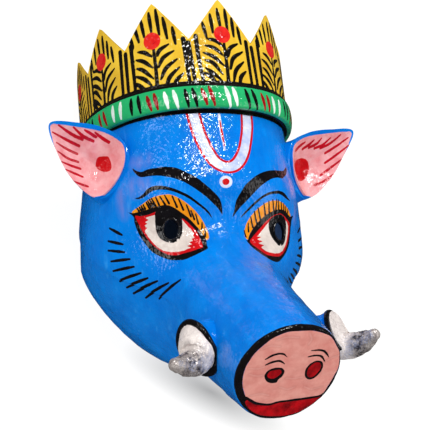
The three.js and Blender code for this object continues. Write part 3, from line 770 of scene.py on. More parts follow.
def face_paint(points):
    """The distance to each colour of the face, one array per colour."""
    chart = face_chart(points)
    offset = points - DISC_CENTRE
    disc = np.column_stack([offset[:, 0], offset @ DISC_UP])
    from_middle = np.hypot(*disc.T)
    out = offset @ DISC_OUT
    on_disc = (out > -DISC_PAINT_DEEP) & (from_middle < DISC_RADIUS + DISC_PAINT_WIDE)
    values = {name: np.full(len(points), FAR) for name in FACE_PAINTS}
    for name, marks in FACE_LAYERS.items():
        values[name][~on_disc] = distance_to(marks, chart[~on_disc])
    for name, marks in DISC_LAYERS.items():
        values[name][on_disc] = distance_to(marks, disc[on_disc])
    # the black ring: the disc's face outside the pink, and over its rounded edge
    deep = RING_DEEP + RING_DEEPER_ABOVE * smooth_step((disc[:, 1] + RING_RAMP) / RING_RAMP)
    on_rim = np.maximum(-out - deep, -values["pink"])
    black_ring = np.where(from_middle < DISC_RADIUS + RING_WIDE, on_rim, FAR)
    band_line = BAND_BOTTOM_Y - LINE_UNDER_BAND - points[:, 1]  # black under the crown's band
    values["black"] = np.minimum(np.minimum(values["black"], black_ring), band_line)
    return values


def onto_skin(points):
    """Slides points that are near the skin along their rays from the core until they lie on it."""
    far = np.linalg.norm(points - CORE, axis=1)
    direction = (points - CORE) / far[:, None]
    low, high = far - NEAR_SKIN, far + NEAR_SKIN
    crosses = (level_at(direction, low) < 0) & (level_at(direction, high) > 0)
    on_skin = CORE + direction * halved(low, high, direction, HALVINGS_NEAR)[:, None]
    return np.where(crosses[:, None], on_skin, points)


def refine(obj, paint_of, outside_of, finest, passes, settle=None):
    """Subdivides the edges that a boundary of paint crosses or nearly crosses, down to the finest length."""
    for _ in range(passes):
        points = points_of(obj)
        outside = outside_of(points)
        near = np.full(len(points), FAR)
        where = np.flatnonzero(outside)
        values = paint_of(points[where])
        near[where] = np.min([np.abs(v) for v in values.values()], axis=0)
        ends = np.empty(len(obj.data.edges) * 2, int)
        obj.data.edges.foreach_get("vertices", ends)
        a, b = ends.reshape(-1, 2).T
        long = np.linalg.norm(points[a] - points[b], axis=1)
        wanted = (long > finest) & (np.minimum(near[a], near[b]) < 0.75 * long) & outside[a] & outside[b]
        count = len(points)
        edit_only(obj, "EDGE", wanted)
        bpy.ops.mesh.subdivide(number_cuts=1, ngon=False, quadcorner="STRAIGHT_CUT")
        bpy.ops.mesh.select_mode(type="VERT")
        bpy.ops.object.mode_set(mode="OBJECT")
        if settle:
            points = points_of(obj)
            points[count:] = settle(points[count:])
            lay_points(obj, points)
        print("  refined", obj.name, "to", triangles_of(obj), "triangles")


def keep_paint(obj, values, where, names):
    """Stores each colour's distance as an attribute of the vertices."""
    for name in names:
        column = np.full(len(obj.data.vertices), FAR)
        column[where] = values[name]
        note(obj, "paint_" + name, column)


SKIN_DEEP = -1.6  # the inner side of the wall has a field of -2 or less
FLOOR_EDGE = 0.2  # vertices lower than this lie in the flat rim


def on_face_skin(points):
    return (face_field(points) > SKIN_DEEP) & (points[:, 2] > FLOOR_EDGE)


refine(face, face_paint, on_face_skin, 1.0, 3, onto_skin)
face_points = points_of(face)
face_skin = face_field(face_points) > SKIN_DEEP
face_values = face_paint(face_points[face_skin])
face_values["smudge"] = distance_to([oval(*row) for row in SMUDGES], face_chart(face_points[face_skin]))
keep_paint(face, face_values, face_skin, FACE_PAINTS + ["smudge"])

# %% [markdown]
# ## Lumps of the paper
#
# Pasted strips never dry quite flat: there are low lumps a few centimetres wide and small ridges where one
# strip ends. A Displace modifier with two cloud textures presses the outside in by two millimetres at most,
# never out, so the face stays within its box. A vertex group keeps the flat rim and the inside of the wall
# as they are.

# %% Press the lumps in
def press_in(obj, texture_name, size, depth, group, contrast=1.0):
    texture = bpy.data.textures.new(texture_name, "CLOUDS")
    texture.noise_scale = size * MM
    texture.noise_depth = 2  # octaves
    texture.contrast = contrast
    apply_modifier(obj, "DISPLACE", texture=texture, strength=depth * MM, mid_level=1.0, vertex_group=group,
                   texture_coords="LOCAL")


LUMPS_FROM_Z = 18  # full strength from here up, none at the rim, where it lies on the floor
outside = face.vertex_groups.new(name="outside")
rise = np.clip(face_points[:, 2] / LUMPS_FROM_Z, 0, 1) * face_skin
for tenth in range(1, 11):
    ramp = np.flatnonzero(np.rint(rise * 10) == tenth)
    outside.add(ramp.tolist(), tenth / 10, "REPLACE")
press_in(face, "broad_lumps", 26, 1.5, "outside")
press_in(face, "strip_edges", 7, 0.45, "outside", 1.4)
face.vertex_groups.clear()
shade_smooth(face, 40)
print("face:", triangles_of(face), "triangles; box mm", *box_of(face))

# %% [markdown]
# ## Materials from layers of paint
#
# Every painted piece gets its material in the same way: a ground colour that wanders a little in tone as
# brushed enamel does, then the layers of marks in the order in which they were painted. A layer's attribute
# is compared with zero after a trace of noise is added, which makes the edge waver as a brush does. The
# paint stands a little proud of what is under it, so the same distances feed the bump. All noise is read in
# object coordinates. A clear varnish lies over all of it, as the shader's coat. Its own finer bump breaks
# the light up into flecks.

# %% Node helpers
class Bench:
    """A workbench for one material: each method adds a node and gives back what comes out of it."""

    def __init__(self, name):
        self.material = bpy.data.materials.new(name)
        self.material.use_nodes = True
        self.tree = self.material.node_tree
        self.shader = self.tree.nodes["Principled BSDF"]
        self.place = self.add("ShaderNodeTexCoord").outputs["Object"]

    def add(self, kind, **settings):
        node = self.tree.nodes.new(kind)
        for key, value in settings.items():
            setattr(node, key, value)
        return node

    def feed(self, socket, value):
        if hasattr(value, "is_linked") or hasattr(value, "node"):
            self.tree.links.new(value, socket)
        else:
            socket.default_value = value

    def noise(self, per_metre, detail=3, rough=0.5, stretch=None):
        vector = self.place
        if stretch:
            mapping = self.add("ShaderNodeMapping")
            self.feed(mapping.inputs["Vector"], vector)
            mapping.inputs["Scale"].default_value = stretch
            vector = mapping.outputs["Vector"]
        node = self.add("ShaderNodeTexNoise")
        self.feed(node.inputs["Vector"], vector)
        node.inputs["Scale"].default_value = per_metre
        node.inputs["Detail"].default_value = detail
        node.inputs["Roughness"].default_value = rough
        return node.outputs["Fac"]

    def math(self, operation, a, b=0.0):
        node = self.add("ShaderNodeMath", operation=operation)
        self.feed(node.inputs[0], a)
        self.feed(node.inputs[1], b)
        return node.outputs[0]

    def spread(self, value, low, high, to_low=0.0, to_high=1.0):
        node = self.add("ShaderNodeMapRange")
        for socket, number in zip(node.inputs, (value, low, high, to_low, to_high)):
            self.feed(socket, number)
        return node.outputs[0]

    def mix(self, factor, a, b):
        node = self.add("ShaderNodeMix", data_type="RGBA")
        self.feed(node.inputs[0], factor)
        self.feed(node.inputs[6], a)
        self.feed(node.inputs[7], b)
        return node.outputs[2]

    def bump(self, height, distance_mm, strength=1.0, after=None):
        node = self.add("ShaderNodeBump")
        node.inputs["Strength"].default_value = strength
        node.inputs["Distance"].default_value = distance_mm * MM
        self.feed(node.inputs["Height"], height)
        if after:
            self.feed(node.inputs["Normal"], after)
        return node.outputs["Normal"]

    def attribute(self, name):
        return self.add("ShaderNodeAttribute", attribute_name=name).outputs["Fac"]

    def finish(self, **sockets):
        for name, value in sockets.items():
            self.feed(self.shader.inputs[name.replace("_", " ")], value)
        return self.material


def colour(red, green, blue):
    """A colour as seen on screen, 0 to 255, made linear."""
    def linear(c):
        c = c / 255
        return c / 12.92 if c <= 0.04045 else ((c + 0.055) / 1.055) ** 2.4
    return (linear(red), linear(green), linear(blue), 1.0)


BLUE = colour(0, 131, 228)
DEEP_BLUE = colour(0, 110, 208)
PALE_BLUE = colour(6, 152, 244)
PINK = colour(240, 176, 178)
SALMON = colour(228, 158, 146)
BLACK = colour(12, 11, 12)
RED = colour(205, 18, 24)
WHITE = colour(224, 212, 202)
ORANGE = colour(234, 150, 26)
LILAC = colour(226, 228, 240)
YELLOW = colour(238, 198, 60)
GREEN = colour(34, 162, 96)
DARK_RED = colour(132, 10, 18)
PURPLE = colour(120, 130, 205)
WHEAT = colour(208, 162, 40)


WAVER = 0.22  # how far the brush strays from the edge of a mark, in mm
EDGE = 0.14  # half the width over which the edge of a mark fades
COAT, COAT_ROUGHNESS = 0.9, 0.07


def streaks(m):
    """Noise drawn out long, as the hairs of a brush leave it."""
    return m.noise(150, 3, 0.6, (1, 0.22, 0.5))


def brushed_ground(m, tones):
    """The ground colour: two tones in broad streaks, and patches of the third where there is one."""
    tone = m.spread(m.math("ADD", m.noise(28, 3), m.math("MULTIPLY", streaks(m), 0.6)), 0.55, 1.05)
    shade = m.mix(tone, tones[0], tones[1])
    if len(tones) > 2:
        shade = m.mix(m.spread(m.noise(60, 4, 0.65), 0.6, 0.74, 0, 0.5), shade, tones[2])
    return shade


def painted(name, ground, layers, inside=None, gloss=0.26, over_ground=None, over_pink=None, coat_of=None):
    """Enamel: a ground of two or three tones, layers of marks, and the streaks and lumps of the brush."""
    m = Bench(name)
    shade = brushed_ground(m, ground)
    if over_ground:
        shade = over_ground(m, shade)
    shaky = m.math("MULTIPLY", m.math("SUBTRACT", m.noise(330, 2), 0.5), 2 * WAVER)
    relief = m.math("MULTIPLY", m.noise(420, 4, 0.6), 0.12)
    # each layer covers what is under it where its distance is below zero, and adds half a step to the relief
    for layer, first, second in layers:
        distance = m.math("ADD", m.attribute("paint_" + layer), shaky)
        mask = m.spread(distance, -EDGE, EDGE, 1, 0)
        shade = m.mix(mask, shade, m.mix(m.spread(m.noise(90, 3, 0.6), 0.35, 0.7), first, second))
        body = m.spread(distance, -1.1, 0.15, 1, 0)
        relief = m.math("ADD", relief, m.math("MULTIPLY", body, 0.5))
        if layer == "pink" and over_pink:
            shade = over_pink(m, shade)
    rough = m.spread(m.noise(70, 3), 0.3, 0.75, gloss - 0.07, gloss + 0.12)
    if inside:
        raw = m.math("GREATER_THAN", m.attribute("raw_paper"), 0.5)
        shade = m.mix(raw, shade, m.mix(m.noise(55, 5, 0.7), inside[0], inside[1]))
        rough = m.mix(raw, rough, (0.85, 0.85, 0.85, 1))
    # the coarse lumps move paint and varnish alike, and each has its own finer grain on top
    lumps = m.bump(m.noise(95, 3, 0.55), 0.9, 0.75)
    grain = m.bump(m.noise(430, 4, 0.68, (1, 0.45, 0.7)), 0.3, 1.0, lumps)
    varnish = m.bump(m.noise(520, 1, 0.4, (1, 0.5, 0.75)), 0.6, 1.0, lumps)
    return m.finish(Base_Color=shade, Roughness=rough, Normal=m.bump(relief, 0.28, 0.8, grain),
                    Coat_Weight=coat_of(m) if coat_of else COAT, Coat_Roughness=COAT_ROUGHNESS,
                    Coat_Normal=varnish, Specular_IOR_Level=0.02)


def wear(obj, material):
    obj.data.materials.clear()
    obj.data.materials.append(material)


# %% [markdown]
# ## Enamel of the face
#
# The ground is a strong cobalt blue, brushed thin in places so that it turns paler. A little purple was
# rubbed over it beside the brows and ears. Faint creases in the pink of the disc are painted as light and
# shade: a painted highlight along each crease, and painted shade round it. The deeper red of the mouth and
# nostrils is partly their own darker paint and partly painted shade over them. The inside of the shell is
# a dull matt blue, as it shows through the pupils. An attribute says which vertices belong to the inside:
# those that lie off the skin, apart from the walls of the pupils, which are black.

# %% Paint the face
def rubbed_and_streaked(m, shade):
    smudge = m.spread(m.attribute("paint_smudge"), -6, 5, 0.75, 0)
    shade = m.mix(m.math("MULTIPLY", smudge, m.spread(streaks(m), 0.35, 0.65)), shade, PURPLE)
    pale_lines = m.spread(m.noise(300, 2, 0.6, (1, 0.14, 0.3)), 0.6, 0.78, 0, 0.32)
    return m.mix(pale_lines, shade, colour(70, 172, 246))


# Paints light and shade along the disc's creases: painted shade round each and a painted highlight on it.
def creased(m, shade):
    crease = m.attribute("paint_crease")
    shade = m.mix(m.spread(crease, 0.4, 2.2, 0.3, 0), shade, colour(186, 108, 98))
    return m.mix(m.spread(crease, 0, 0.8, 0.22, 0), shade, colour(246, 196, 186))


HOLE_WALL = (9.75, 12.15)  # half width and half height round a pupil's middle that take in the hole's wall
HOLE_WALL_ABOVE = 60
pulp = np.where(face_skin, 0, 1)
black_over = face.data.attributes["paint_black_over"].data
for x, y in PUPILS.values():
    beside = np.hypot((face_points[:, 0] - x) / HOLE_WALL[0], (face_points[:, 1] - y) / HOLE_WALL[1])
    for i in np.flatnonzero((beside < 1) & (face_points[:, 2] > HOLE_WALL_ABOVE)):
        pulp[i] = 0
        black_over[i].value = -1
note(face, "raw_paper", pulp)
face_enamel = painted(
    "face_enamel", (BLUE, DEEP_BLUE, PALE_BLUE),
    [("pink", SALMON, colour(214, 132, 122)), ("orange", ORANGE, colour(222, 128, 16)),
     ("red_under", colour(188, 14, 26), RED), ("lilac", LILAC, colour(158, 178, 228)),
     ("black", BLACK, colour(22, 18, 20)), ("red", RED, colour(178, 8, 18)),
     ("deep_red", colour(188, 12, 22), colour(98, 4, 10)), ("white", WHITE, colour(200, 186, 178)),
     ("black_over", BLACK, colour(20, 18, 22))],
    inside=(colour(84, 118, 170), colour(64, 92, 138)), over_ground=rubbed_and_streaked, over_pink=creased,
)
wear(face, face_enamel)
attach(face, "root")
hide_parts("face_shell")
print("face material:", len(face_enamel.node_tree.nodes), "nodes")

# %% [markdown]
# ## Rims of the pupils
#
# The cut edge of each eye hole was bound with a roll of wet paper and painted black, so it catches the
# light as a ring. A torus is the natural start. It is laid along the hole's edge and lifted to the skin
# point by point.

# %% Pupil rims
TORUS_ROLL = 0.2  # the torus is made with this roll round a loop of 1, and then laid out
RIM_UNEVEN = 0.12  # the binding is this share thicker and thinner on its way round
RIM_BEYOND_HOLE, RIM_SUNK = 0.55, 0.2
ABOVE_EYES = 130.0
SLOPE_OF_FIELD = 0.9


def pupil_rim(word, x, y):
    bpy.ops.mesh.primitive_torus_add(major_segments=56, minor_segments=12, major_radius=1,
                                     minor_radius=TORUS_ROLL)
    rim = bpy.context.object
    rim.name = rim.data.name = "pupil_rim_" + word
    loop = points_of(rim) * MM
    around = np.arctan2(loop[:, 1], loop[:, 0])
    outward = (np.hypot(loop[:, 0], loop[:, 1]) - 1) / TORUS_ROLL
    forward = loop[:, 2] / TORUS_ROLL
    thick = 1.0 + RIM_UNEVEN * np.sin(3 * around + x)
    centre = np.column_stack([x + (PUPIL_HALF[0] + RIM_BEYOND_HOLE) * np.cos(around),
                              y + (PUPIL_HALF[1] + RIM_BEYOND_HOLE) * np.sin(around),
                              np.full(len(around), ABOVE_EYES)])
    for _ in range(12):  # sinks the loop onto the skin
        centre[:, 2] -= face_field(centre) / SLOPE_OF_FIELD
    roll = np.column_stack([outward * thick * np.cos(around), outward * thick * np.sin(around),
                            forward * thick * 0.9 - RIM_SUNK])
    lay_points(rim, centre + roll)
    tidy(rim)
    return rim


rim_paint = painted("black_gloss", (BLACK, colour(26, 24, 26)), [], gloss=0.2)
for word, (x, y) in PUPILS.items():
    rim = pupil_rim(word, x, y)
    wear(rim, rim_paint)
    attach(rim, "root")
    print(rim.name, triangles_of(rim), "triangles")

# %% [markdown]
# ## Collars of the tusks
#
# Each tusk stands in a raised trumpet of pulp on the snout's flank, blue outside with a black face round
# the root. A turned form asks for the spin tool: the profile is drawn as a row of extruded vertices, and
# spun once round the axis. It is then pressed to the egg shape of its lip and tipped into its seat, by
# laying its points in the seat's own directions. The foot leans over to the snout's flank and dives under
# the skin.

# %% Seats of the tusks
# Places are given across, up and out from the disc's centre. The two collars were set one by one, so they
# differ.
SNOUT_TWIST = math.radians(4)
# Their lips are egg-shaped: twelve radii, every 30 degrees from the disc's up.
COLLARS = {
    "left": {"centre": (-59.9, -8.9, -54), "facing": (-0.85, 0, 0.52), "foot": (-38, -9, -61),
             "lip": (23.3, 27, 25.8, 25.9, 25.5, 24.8, 24.5, 24.8, 24.8, 22.4, 20.4, 19.8),
             "foil": (20, 23.4, 21.6, 21, 21, 20, 17, 15, 14.4, 14.6, 16.4, 18.4)},
    "right": {"centre": (71.5, -6.5, -54), "facing": (0.6, 0.7, 0.4), "foot": (41, -4, -60),
              "lip": (22, 21.6, 21.5, 21, 20.5, 19, 16, 13, 11, 11, 14.5, 20.6),
              "foil": (18.6, 17.7, 17.8, 17.5, 17.5, 16.5, 14.5, 12, 10.6, 10.6, 13.5, 18.2)},
}
LIP_HARMONICS = (1, 2, 3, 4)


def twisted(direction):
    """A direction across the snout, turned with the snout's slight twist."""
    return math.cos(SNOUT_TWIST) * direction + math.sin(SNOUT_TWIST) * np.cross(DISC_OUT, direction)


ON_SNOUT = np.array([twisted(np.array([1.0, 0, 0])), twisted(DISC_UP), DISC_OUT])


def on_snout(places):
    return DISC_CENTRE + np.asarray(places, float) @ ON_SNOUT


def egg(radii, angle):
    """A smooth closed outline through twelve radii."""
    wave = np.fft.rfft(radii) / len(radii)
    return wave[0].real + 2 * sum((wave[k] * np.exp(1j * k * angle)).real for k in LIP_HARMONICS)


def upright(facing):
    """The direction across this one that is nearest to the disc's up."""
    return unit(DISC_UP - facing * (DISC_UP @ facing))


def tusk_seat(word):
    """The collar's centre, the way its face looks, and two directions across the face."""
    facing = unit(np.array(COLLARS[word]["facing"]) @ ON_SNOUT)
    up = upright(facing)
    return on_snout(COLLARS[word]["centre"]), facing, up, np.cross(facing, up)


# %% Spin the collars
# radius and height, from the middle of the collar's face over its lip to the foot
COLLAR_PROFILE = [(0.4, -0.2), (8, -0.3), (15, -0.5), (19, -0.3), (21.2, -0.1), (22.5, -0.9), (23, -2.2),
                  (22.6, -3.9), (21.3, -5.6), (19.6, -8), (18, -11), (17, -15), (17.2, -21), (17.5, -29)]
PROFILE_LIP = 23
LEAN_FROM, LEAN_OVER = 3, 24
FLARE, FLARE_FADE, FLARE_FROM = 2.5, 3.0, 6
DIVE_FROM, DIVE_ABOVE, DEEPEST = 5, 2, 2.6
TRIM_DEPTH = 3.2
BLACK_FACE_DEEP = 3.4


def spun_profile(name):
    """The collar as it comes off the spin tool, standing up at the origin."""
    bpy.ops.mesh.primitive_plane_add(size=MM)
    collar = bpy.context.object
    collar.name = collar.data.name = name
    bpy.ops.object.mode_set(mode="EDIT")
    bpy.ops.mesh.select_all(action="SELECT")
    bpy.ops.mesh.merge(type="CENTER")
    here = Vector((0, 0, 0))
    for radius, height in COLLAR_PROFILE:
        there = Vector((radius * MM, 0, height * MM))
        if (radius, height) == COLLAR_PROFILE[0]:
            bpy.ops.transform.translate(value=there - here)
        else:
            bpy.ops.mesh.extrude_region_move(TRANSFORM_OT_translate={"value": there - here})
        here = there
    bpy.ops.mesh.select_all(action="SELECT")
    bpy.ops.mesh.spin(steps=72, angle=2 * math.pi, center=(0, 0, 0), axis=(0, 0, 1))
    bpy.ops.object.mode_set(mode="OBJECT")
    return collar


def seated(points, word):
    """The spun points pressed to the lip's egg shape and laid in their seat on the snout."""
    centre, facing, up, across = tusk_seat(word)
    height = points[:, 2:3]
    points[:, :2] *= egg(COLLARS[word]["lip"], np.arctan2(points[:, 1], points[:, 0]))[:, None] / PROFILE_LIP
    lean = smooth_step((-height - LEAN_FROM) / LEAN_OVER)
    middle = (centre + height * facing) * (1 - lean) + on_snout(COLLARS[word]["foot"]) * lean
    radial = points[:, :1] * up + points[:, 1:2] * across
    laid = middle + radial
    # the foot widens a little where it meets the flank
    radial /= np.maximum(np.linalg.norm(radial, axis=1), 1e-6)[:, None]
    widen = FLARE * np.exp(-np.maximum(face_field(laid), 0) / FLARE_FADE)[:, None]
    laid = laid + radial * np.where(height < -FLARE_FROM, widen, 0)
    # near the skin it dives under it steeply, so that the joint is a clean line
    depth = face_field(laid)
    slope = unit(np.stack([face_field(laid + step) - depth for step in 0.5 * np.eye(3)], axis=1))
    dive = np.maximum(0, np.minimum(2 * (DIVE_ABOVE - depth), depth + DEEPEST))[:, None]
    return laid - slope * np.where(height < -DIVE_FROM, dive, 0)


def trim_inside(collar):
    """Cuts away what would show inside the shell, and closes the foot again."""
    edit_only(collar, "VERT", face_field(points_of(collar)) < -TRIM_DEPTH)
    bpy.ops.mesh.delete(type="VERT")
    close_openings()
    bpy.ops.object.mode_set(mode="OBJECT")


def spun_collar(word):
    collar = spun_profile("tusk_collar_" + word)
    lay_points(collar, seated(points_of(collar), word))
    tidy(collar)
    trim_inside(collar)
    tidy(collar)
    centre, facing, _, _ = tusk_seat(word)
    height = (points_of(collar) - centre) @ facing
    note(collar, "paint_black", -height - BLACK_FACE_DEEP)
    return collar


collar_paint = painted("collar_enamel", (BLUE, DEEP_BLUE, PALE_BLUE), [("black", BLACK, colour(22, 18, 20))])
for word in COLLARS:
    collar = spun_collar(word)
    wear(collar, collar_paint)
    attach(collar, "root")
    print(collar.name, triangles_of(collar), "triangles")

# %% [markdown]
# ## Tusks
#
# The tusks are twists of paper wrapped in kitchen foil: a blunt root that fills the collar, a bend, and a
# tip with crushed folds. The body is rings along a bent line; two Displace passes with cloud textures then
# crush it.

# %% Roll the tusks
ROOT_FILLS = 0.42  # the root keeps the egg shape of its collar over this share of the line
ROOT_LIFT = 0.3
TIP_ANGLES = np.radians([15, 30, 45, 60, 75, 88])
SILVER_SOONER = {"left": 1.0, "right": 1.2}  # the right tusk turns from ivory to silver sooner
CRUSH_AT, CRUSH = (0, 0.5, 0.8, 1), (0.3, 1, 0.8, 0.35)  # smooth at the root, crushed along the middle
# across, up and out from the disc's centre, and the radius there
TUSK_LINES = {
    "left": [(-59.9, -8.9, -54, 17.6), (-61.6, -8, -47.5, 15.2), (-65, -8.9, -41.5, 13.8),
             (-72, -7.6, -36, 12.2), (-79.6, -3.8, -31, 9.6), (-87.2, 0.6, -27, 6.6)],
    "right": [(71.5, -6.5, -54, 13), (70.6, -15.6, -49.4, 10.8), (75.2, -15.8, -44, 11.6),
              (80.3, -10.8, -39.5, 11.6), (83.8, -5.2, -35.5, 10.2), (86.2, 0.4, -32, 8.2),
              (87.6, 5.4, -29, 6.2)],
}


def rolled_tusk(word):
    _, facing, _, _ = tusk_seat(word)
    line = through(TUSK_LINES[word], 12)
    middles, radii = on_snout(line[:, :3]) + facing * ROOT_LIFT, line[:, 3]
    turned = smooth_step(np.linspace(0, 1, len(line)) / ROOT_FILLS)[:, None]
    ahead = unit(facing * (1 - turned) + unit(np.gradient(middles, axis=0)) * turned)
    around = np.linspace(0, 2 * math.pi, 85)[:, None]
    rows = []
    for middle, radius, along, share in zip(middles, radii, ahead, turned):
        up = upright(along)
        wide = egg(COLLARS[word]["foil"], around) * (1 - share) + radius * share
        rows.append(middle + wide * (np.cos(around) * up + np.sin(around) * np.cross(along, up)))
    last, tip_ring = rows[-1].mean(0), rows[-1]
    for angle in TIP_ANGLES:
        rows.append(last + (tip_ring - last) * math.cos(angle) + along * radii[-1] * math.sin(angle))
    rows.insert(0, rows[0] * 0.02 + rows[0][:-1].mean(0) * 0.98)  # all but closes the root
    start, tip = middles[0], rows[-1].mean(0)
    tusk = sheet_of_rows("tusk_foil_" + word, rows, fill_ends=True)
    tidy(tusk)
    along = np.clip(((points_of(tusk) - start) @ (tip - start)) / ((tip - start) @ (tip - start)), 0, 1)
    note(tusk, "along_tusk", np.clip(along * SILVER_SOONER[word], 0, 1))
    whole = tusk.vertex_groups.new(name="crushed")
    for i, share in enumerate(along):
        whole.add([i], np.interp(share, CRUSH_AT, CRUSH), "REPLACE")
    press_in(tusk, "crushed_folds", 7, 2.2, "crushed", 1.3)
    press_in(tusk, "crushed_creases", 2.6, 0.9, "crushed", 1.5)
    tusk.vertex_groups.clear()
    tidy(tusk, smooth=60)
    return tusk


def foil_material():
    m = Bench("kitchen_foil")
    along = m.attribute("along_tusk")
    ivory = m.mix(m.spread(m.noise(90, 5, 0.7), 0.35, 0.7), colour(240, 230, 224), colour(196, 184, 182))
    bright = m.mix(m.spread(m.noise(160, 5, 0.75), 0.35, 0.62), colour(232, 222, 216), colour(142, 130, 128))
    middle = m.spread(m.math("ABSOLUTE", m.math("SUBTRACT", along, 0.6)), 0.12, 0.3, 1.0, 0.2)
    # the dark patches along the crushed middle are painted reflections of the dark room in the foil
    painted_dark_reflections = m.math("MULTIPLY", m.spread(m.noise(230, 4, 0.7), 0.46, 0.6, 0, 0.95), middle)
    silver = m.mix(painted_dark_reflections, bright, colour(52, 47, 50))
    ragged = m.math("MULTIPLY", m.math("SUBTRACT", m.noise(80, 3), 0.5), 0.5)
    share = m.spread(m.math("ADD", along, ragged), 0.28, 0.5)
    folds = m.add("ShaderNodeTexVoronoi", feature="DISTANCE_TO_EDGE")
    m.feed(folds.inputs["Vector"], m.place)
    folds.inputs["Scale"].default_value = 260
    creased = m.bump(m.spread(folds.outputs["Distance"], 0, 0.25), 0.5, 0.5)
    crinkled = m.bump(m.noise(620, 4, 0.65), 0.4, 0.7, creased)
    return m.finish(Base_Color=m.mix(share, ivory, silver), Metallic=m.spread(share, 0, 1, 0.05, 0.4),
                    Roughness=m.spread(m.noise(160, 3), 0.3, 0.7, 0.2, 0.42), Normal=crinkled)


foil = foil_material()
for word in TUSK_LINES:
    tusk = rolled_tusk(word)
    wear(tusk, foil)
    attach(tusk, "root")
    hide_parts("tusk_" + word)
    print(tusk.name, triangles_of(tusk), "triangles")

# %% [markdown]
# ## Crown of card
#
# The crown is one strip of card cut to seven peaks and set round the head. Its outline is a squared ellipse
# like the forehead's, so a place on it is given by its length along the card and its height. A grid of
# points is bent round that outline, its top edge follows the peaks, and Solidify gives the card its
# thickness.

# %% The outline of the crown
CROWN_HALF, CROWN_X, CROWN_DEPTH = 101.5, 1, 119
CARD, CARD_FOOT_Y = 2.2, 101
PEAK_PITCH, CROWN_TURN = 63.6, 5
PEAK_RISE, PEAK_DROP, VALLEY_RISE, TIP_ROUND = 88, 1.6, 44.5, 0.05


def crown_at(turn, y, outward):
    """Points of the crown's outline, at these turns from the front and these heights."""
    turn, y, outward = np.broadcast_arrays(turn, y, outward)
    sine, cosine = np.sin(turn), np.cos(turn)
    depth = np.where(cosine > 0, CROWN_DEPTH, CROWN_HALF) + outward
    power = 2 / SECTION_POWER
    x = CROWN_X + np.sign(sine) * (CROWN_HALF + outward) * np.abs(sine) ** power
    z = HEAD_AXIS_Z + np.sign(cosine) * depth * np.abs(cosine) ** power
    return np.stack([x, y + 0 * x, z], axis=-1)


table_turns = np.linspace(0, math.pi, 2001)
table_points = crown_at(table_turns, 0, 0)
table_lengths = np.concatenate([[0], np.cumsum(np.linalg.norm(np.diff(table_points, axis=0), axis=1))])
CARD_HALF = table_lengths[np.argmax(table_points[:, 2] < -6)]  # goes on below the floor, and is cut there


def turn_at(length):
    return np.sign(length) * np.interp(np.abs(length), table_lengths, table_turns)


def length_at(points):
    """The length along the card of the nearest place on its outline."""
    sine = np.abs((points[:, 0] - CROWN_X) / CROWN_HALF) ** (SECTION_POWER / 2)
    forward = points[:, 2] - HEAD_AXIS_Z
    cosine = np.abs(forward / np.where(forward > 0, CROWN_DEPTH, CROWN_HALF)) ** (SECTION_POWER / 2)
    turn = np.arctan2(sine, np.where(forward > 0, cosine, -cosine))
    return np.sign(points[:, 0] - CROWN_X) * np.interp(turn, table_turns, table_lengths)


def crown_chart(points):
    """Across is the length along the card, up is the height."""
    return np.column_stack([length_at(points), points[:, 1]])


def rise_of(peak):
    """How high a peak stands over the band; they get lower to the sides."""
    return PEAK_RISE - PEAK_DROP * peak * peak


def peak_height(length):
    """The height of the card's zigzag edge, its tips and valleys slightly rounded."""
    along = (length - CROWN_TURN) / PEAK_PITCH
    peak = np.rint(along)
    from_peak = np.abs(along - peak) * 2
    rounded = np.sqrt(from_peak**2 + TIP_ROUND**2) - TIP_ROUND
    to_valley = np.sqrt((1 - from_peak) ** 2 + TIP_ROUND**2) - TIP_ROUND
    rise = rise_of(peak)
    return BAND_TOP_Y + rise + (VALLEY_RISE - rise) * (1 + rounded - to_valley) / 2


print("half length of the card:", round(float(CARD_HALF), 1), "mm")

# %% Cut and bend the card
CARD_PITCH = 2.12  # divides the peaks' pitch, so that a column stands at each tip
CARD_SETTLES = 0.6
half_count = round(CARD_HALF / CARD_PITCH)
columns = np.arange(-half_count, half_count + 1) * CARD_PITCH + CROWN_TURN
heights = np.linspace(0, 1, 34)[:, None]
card_y = CARD_FOOT_Y + (peak_height(columns) - CARD_FOOT_Y) * heights
crown = sheet_of_rows("crown_card_peaks", crown_at(turn_at(columns)[None, :], card_y, CARD))
cut_at_floor(crown)
apply_modifier(crown, "SOLIDIFY", thickness=CARD * MM, offset=-1)
set_down(crown, CARD_SETTLES)
print("card cut and bent:", triangles_of(crown), "triangles")

# %% [markdown]
# ## Marks on the crown
#
# Each peak has a stem with leaves to both sides and a red flower on top, short rays up to the edge, and
# three tall stripes in each valley. Two peaks were drawn from the photograph, and the others repeat them in
# turn with small seeded changes, as the painter's hand would. Marks are kept in millimetres from the peak's
# stem, or from the middle of the valley, and from the foot of the marks over the band.

# %% Marks of two peaks and three valleys
LEAVES_A = [
    [(-15.8, 43.9), (-8.8, 41.4), (-1.8, 35.2)], [(-18.5, 36.4), (-10.5, 32.5), (-2.2, 24.1)],
    [(-18.3, 27.5), (-11.6, 23.6), (-2.4, 13)], [(-20, 19.7), (-11.6, 14.7), (-4.4, 6.4)],
    [(-21.1, 13), (-16.1, 8.6), (-8.8, 0.8)],
    [(3.4, 35.2), (5.6, 40.8), (14.8, 45.8)], [(3.4, 23.6), (8.4, 32.5), (18.9, 38.4)],
    [(4.5, 10.8), (10, 21.4), (21.2, 29.7)], [(8.9, 1.4), (12.8, 11.9), (22.6, 21.1)],
    [(16.2, 0.8), (18.9, 8), (25.9, 14.7)],
]
RAYS_A = [(-1.6, 80.2, -0.5, 61.4), (5.3, 81.9, 6.7, 58), (-10, 74.7, -8, 58.6), (11.5, 72.5, 13.7, 53),
          (-17.2, 69.1, -13.8, 54.7), (-23, 60.8, -20, 50.8), (19.5, 61.4, 20.9, 46.4)]
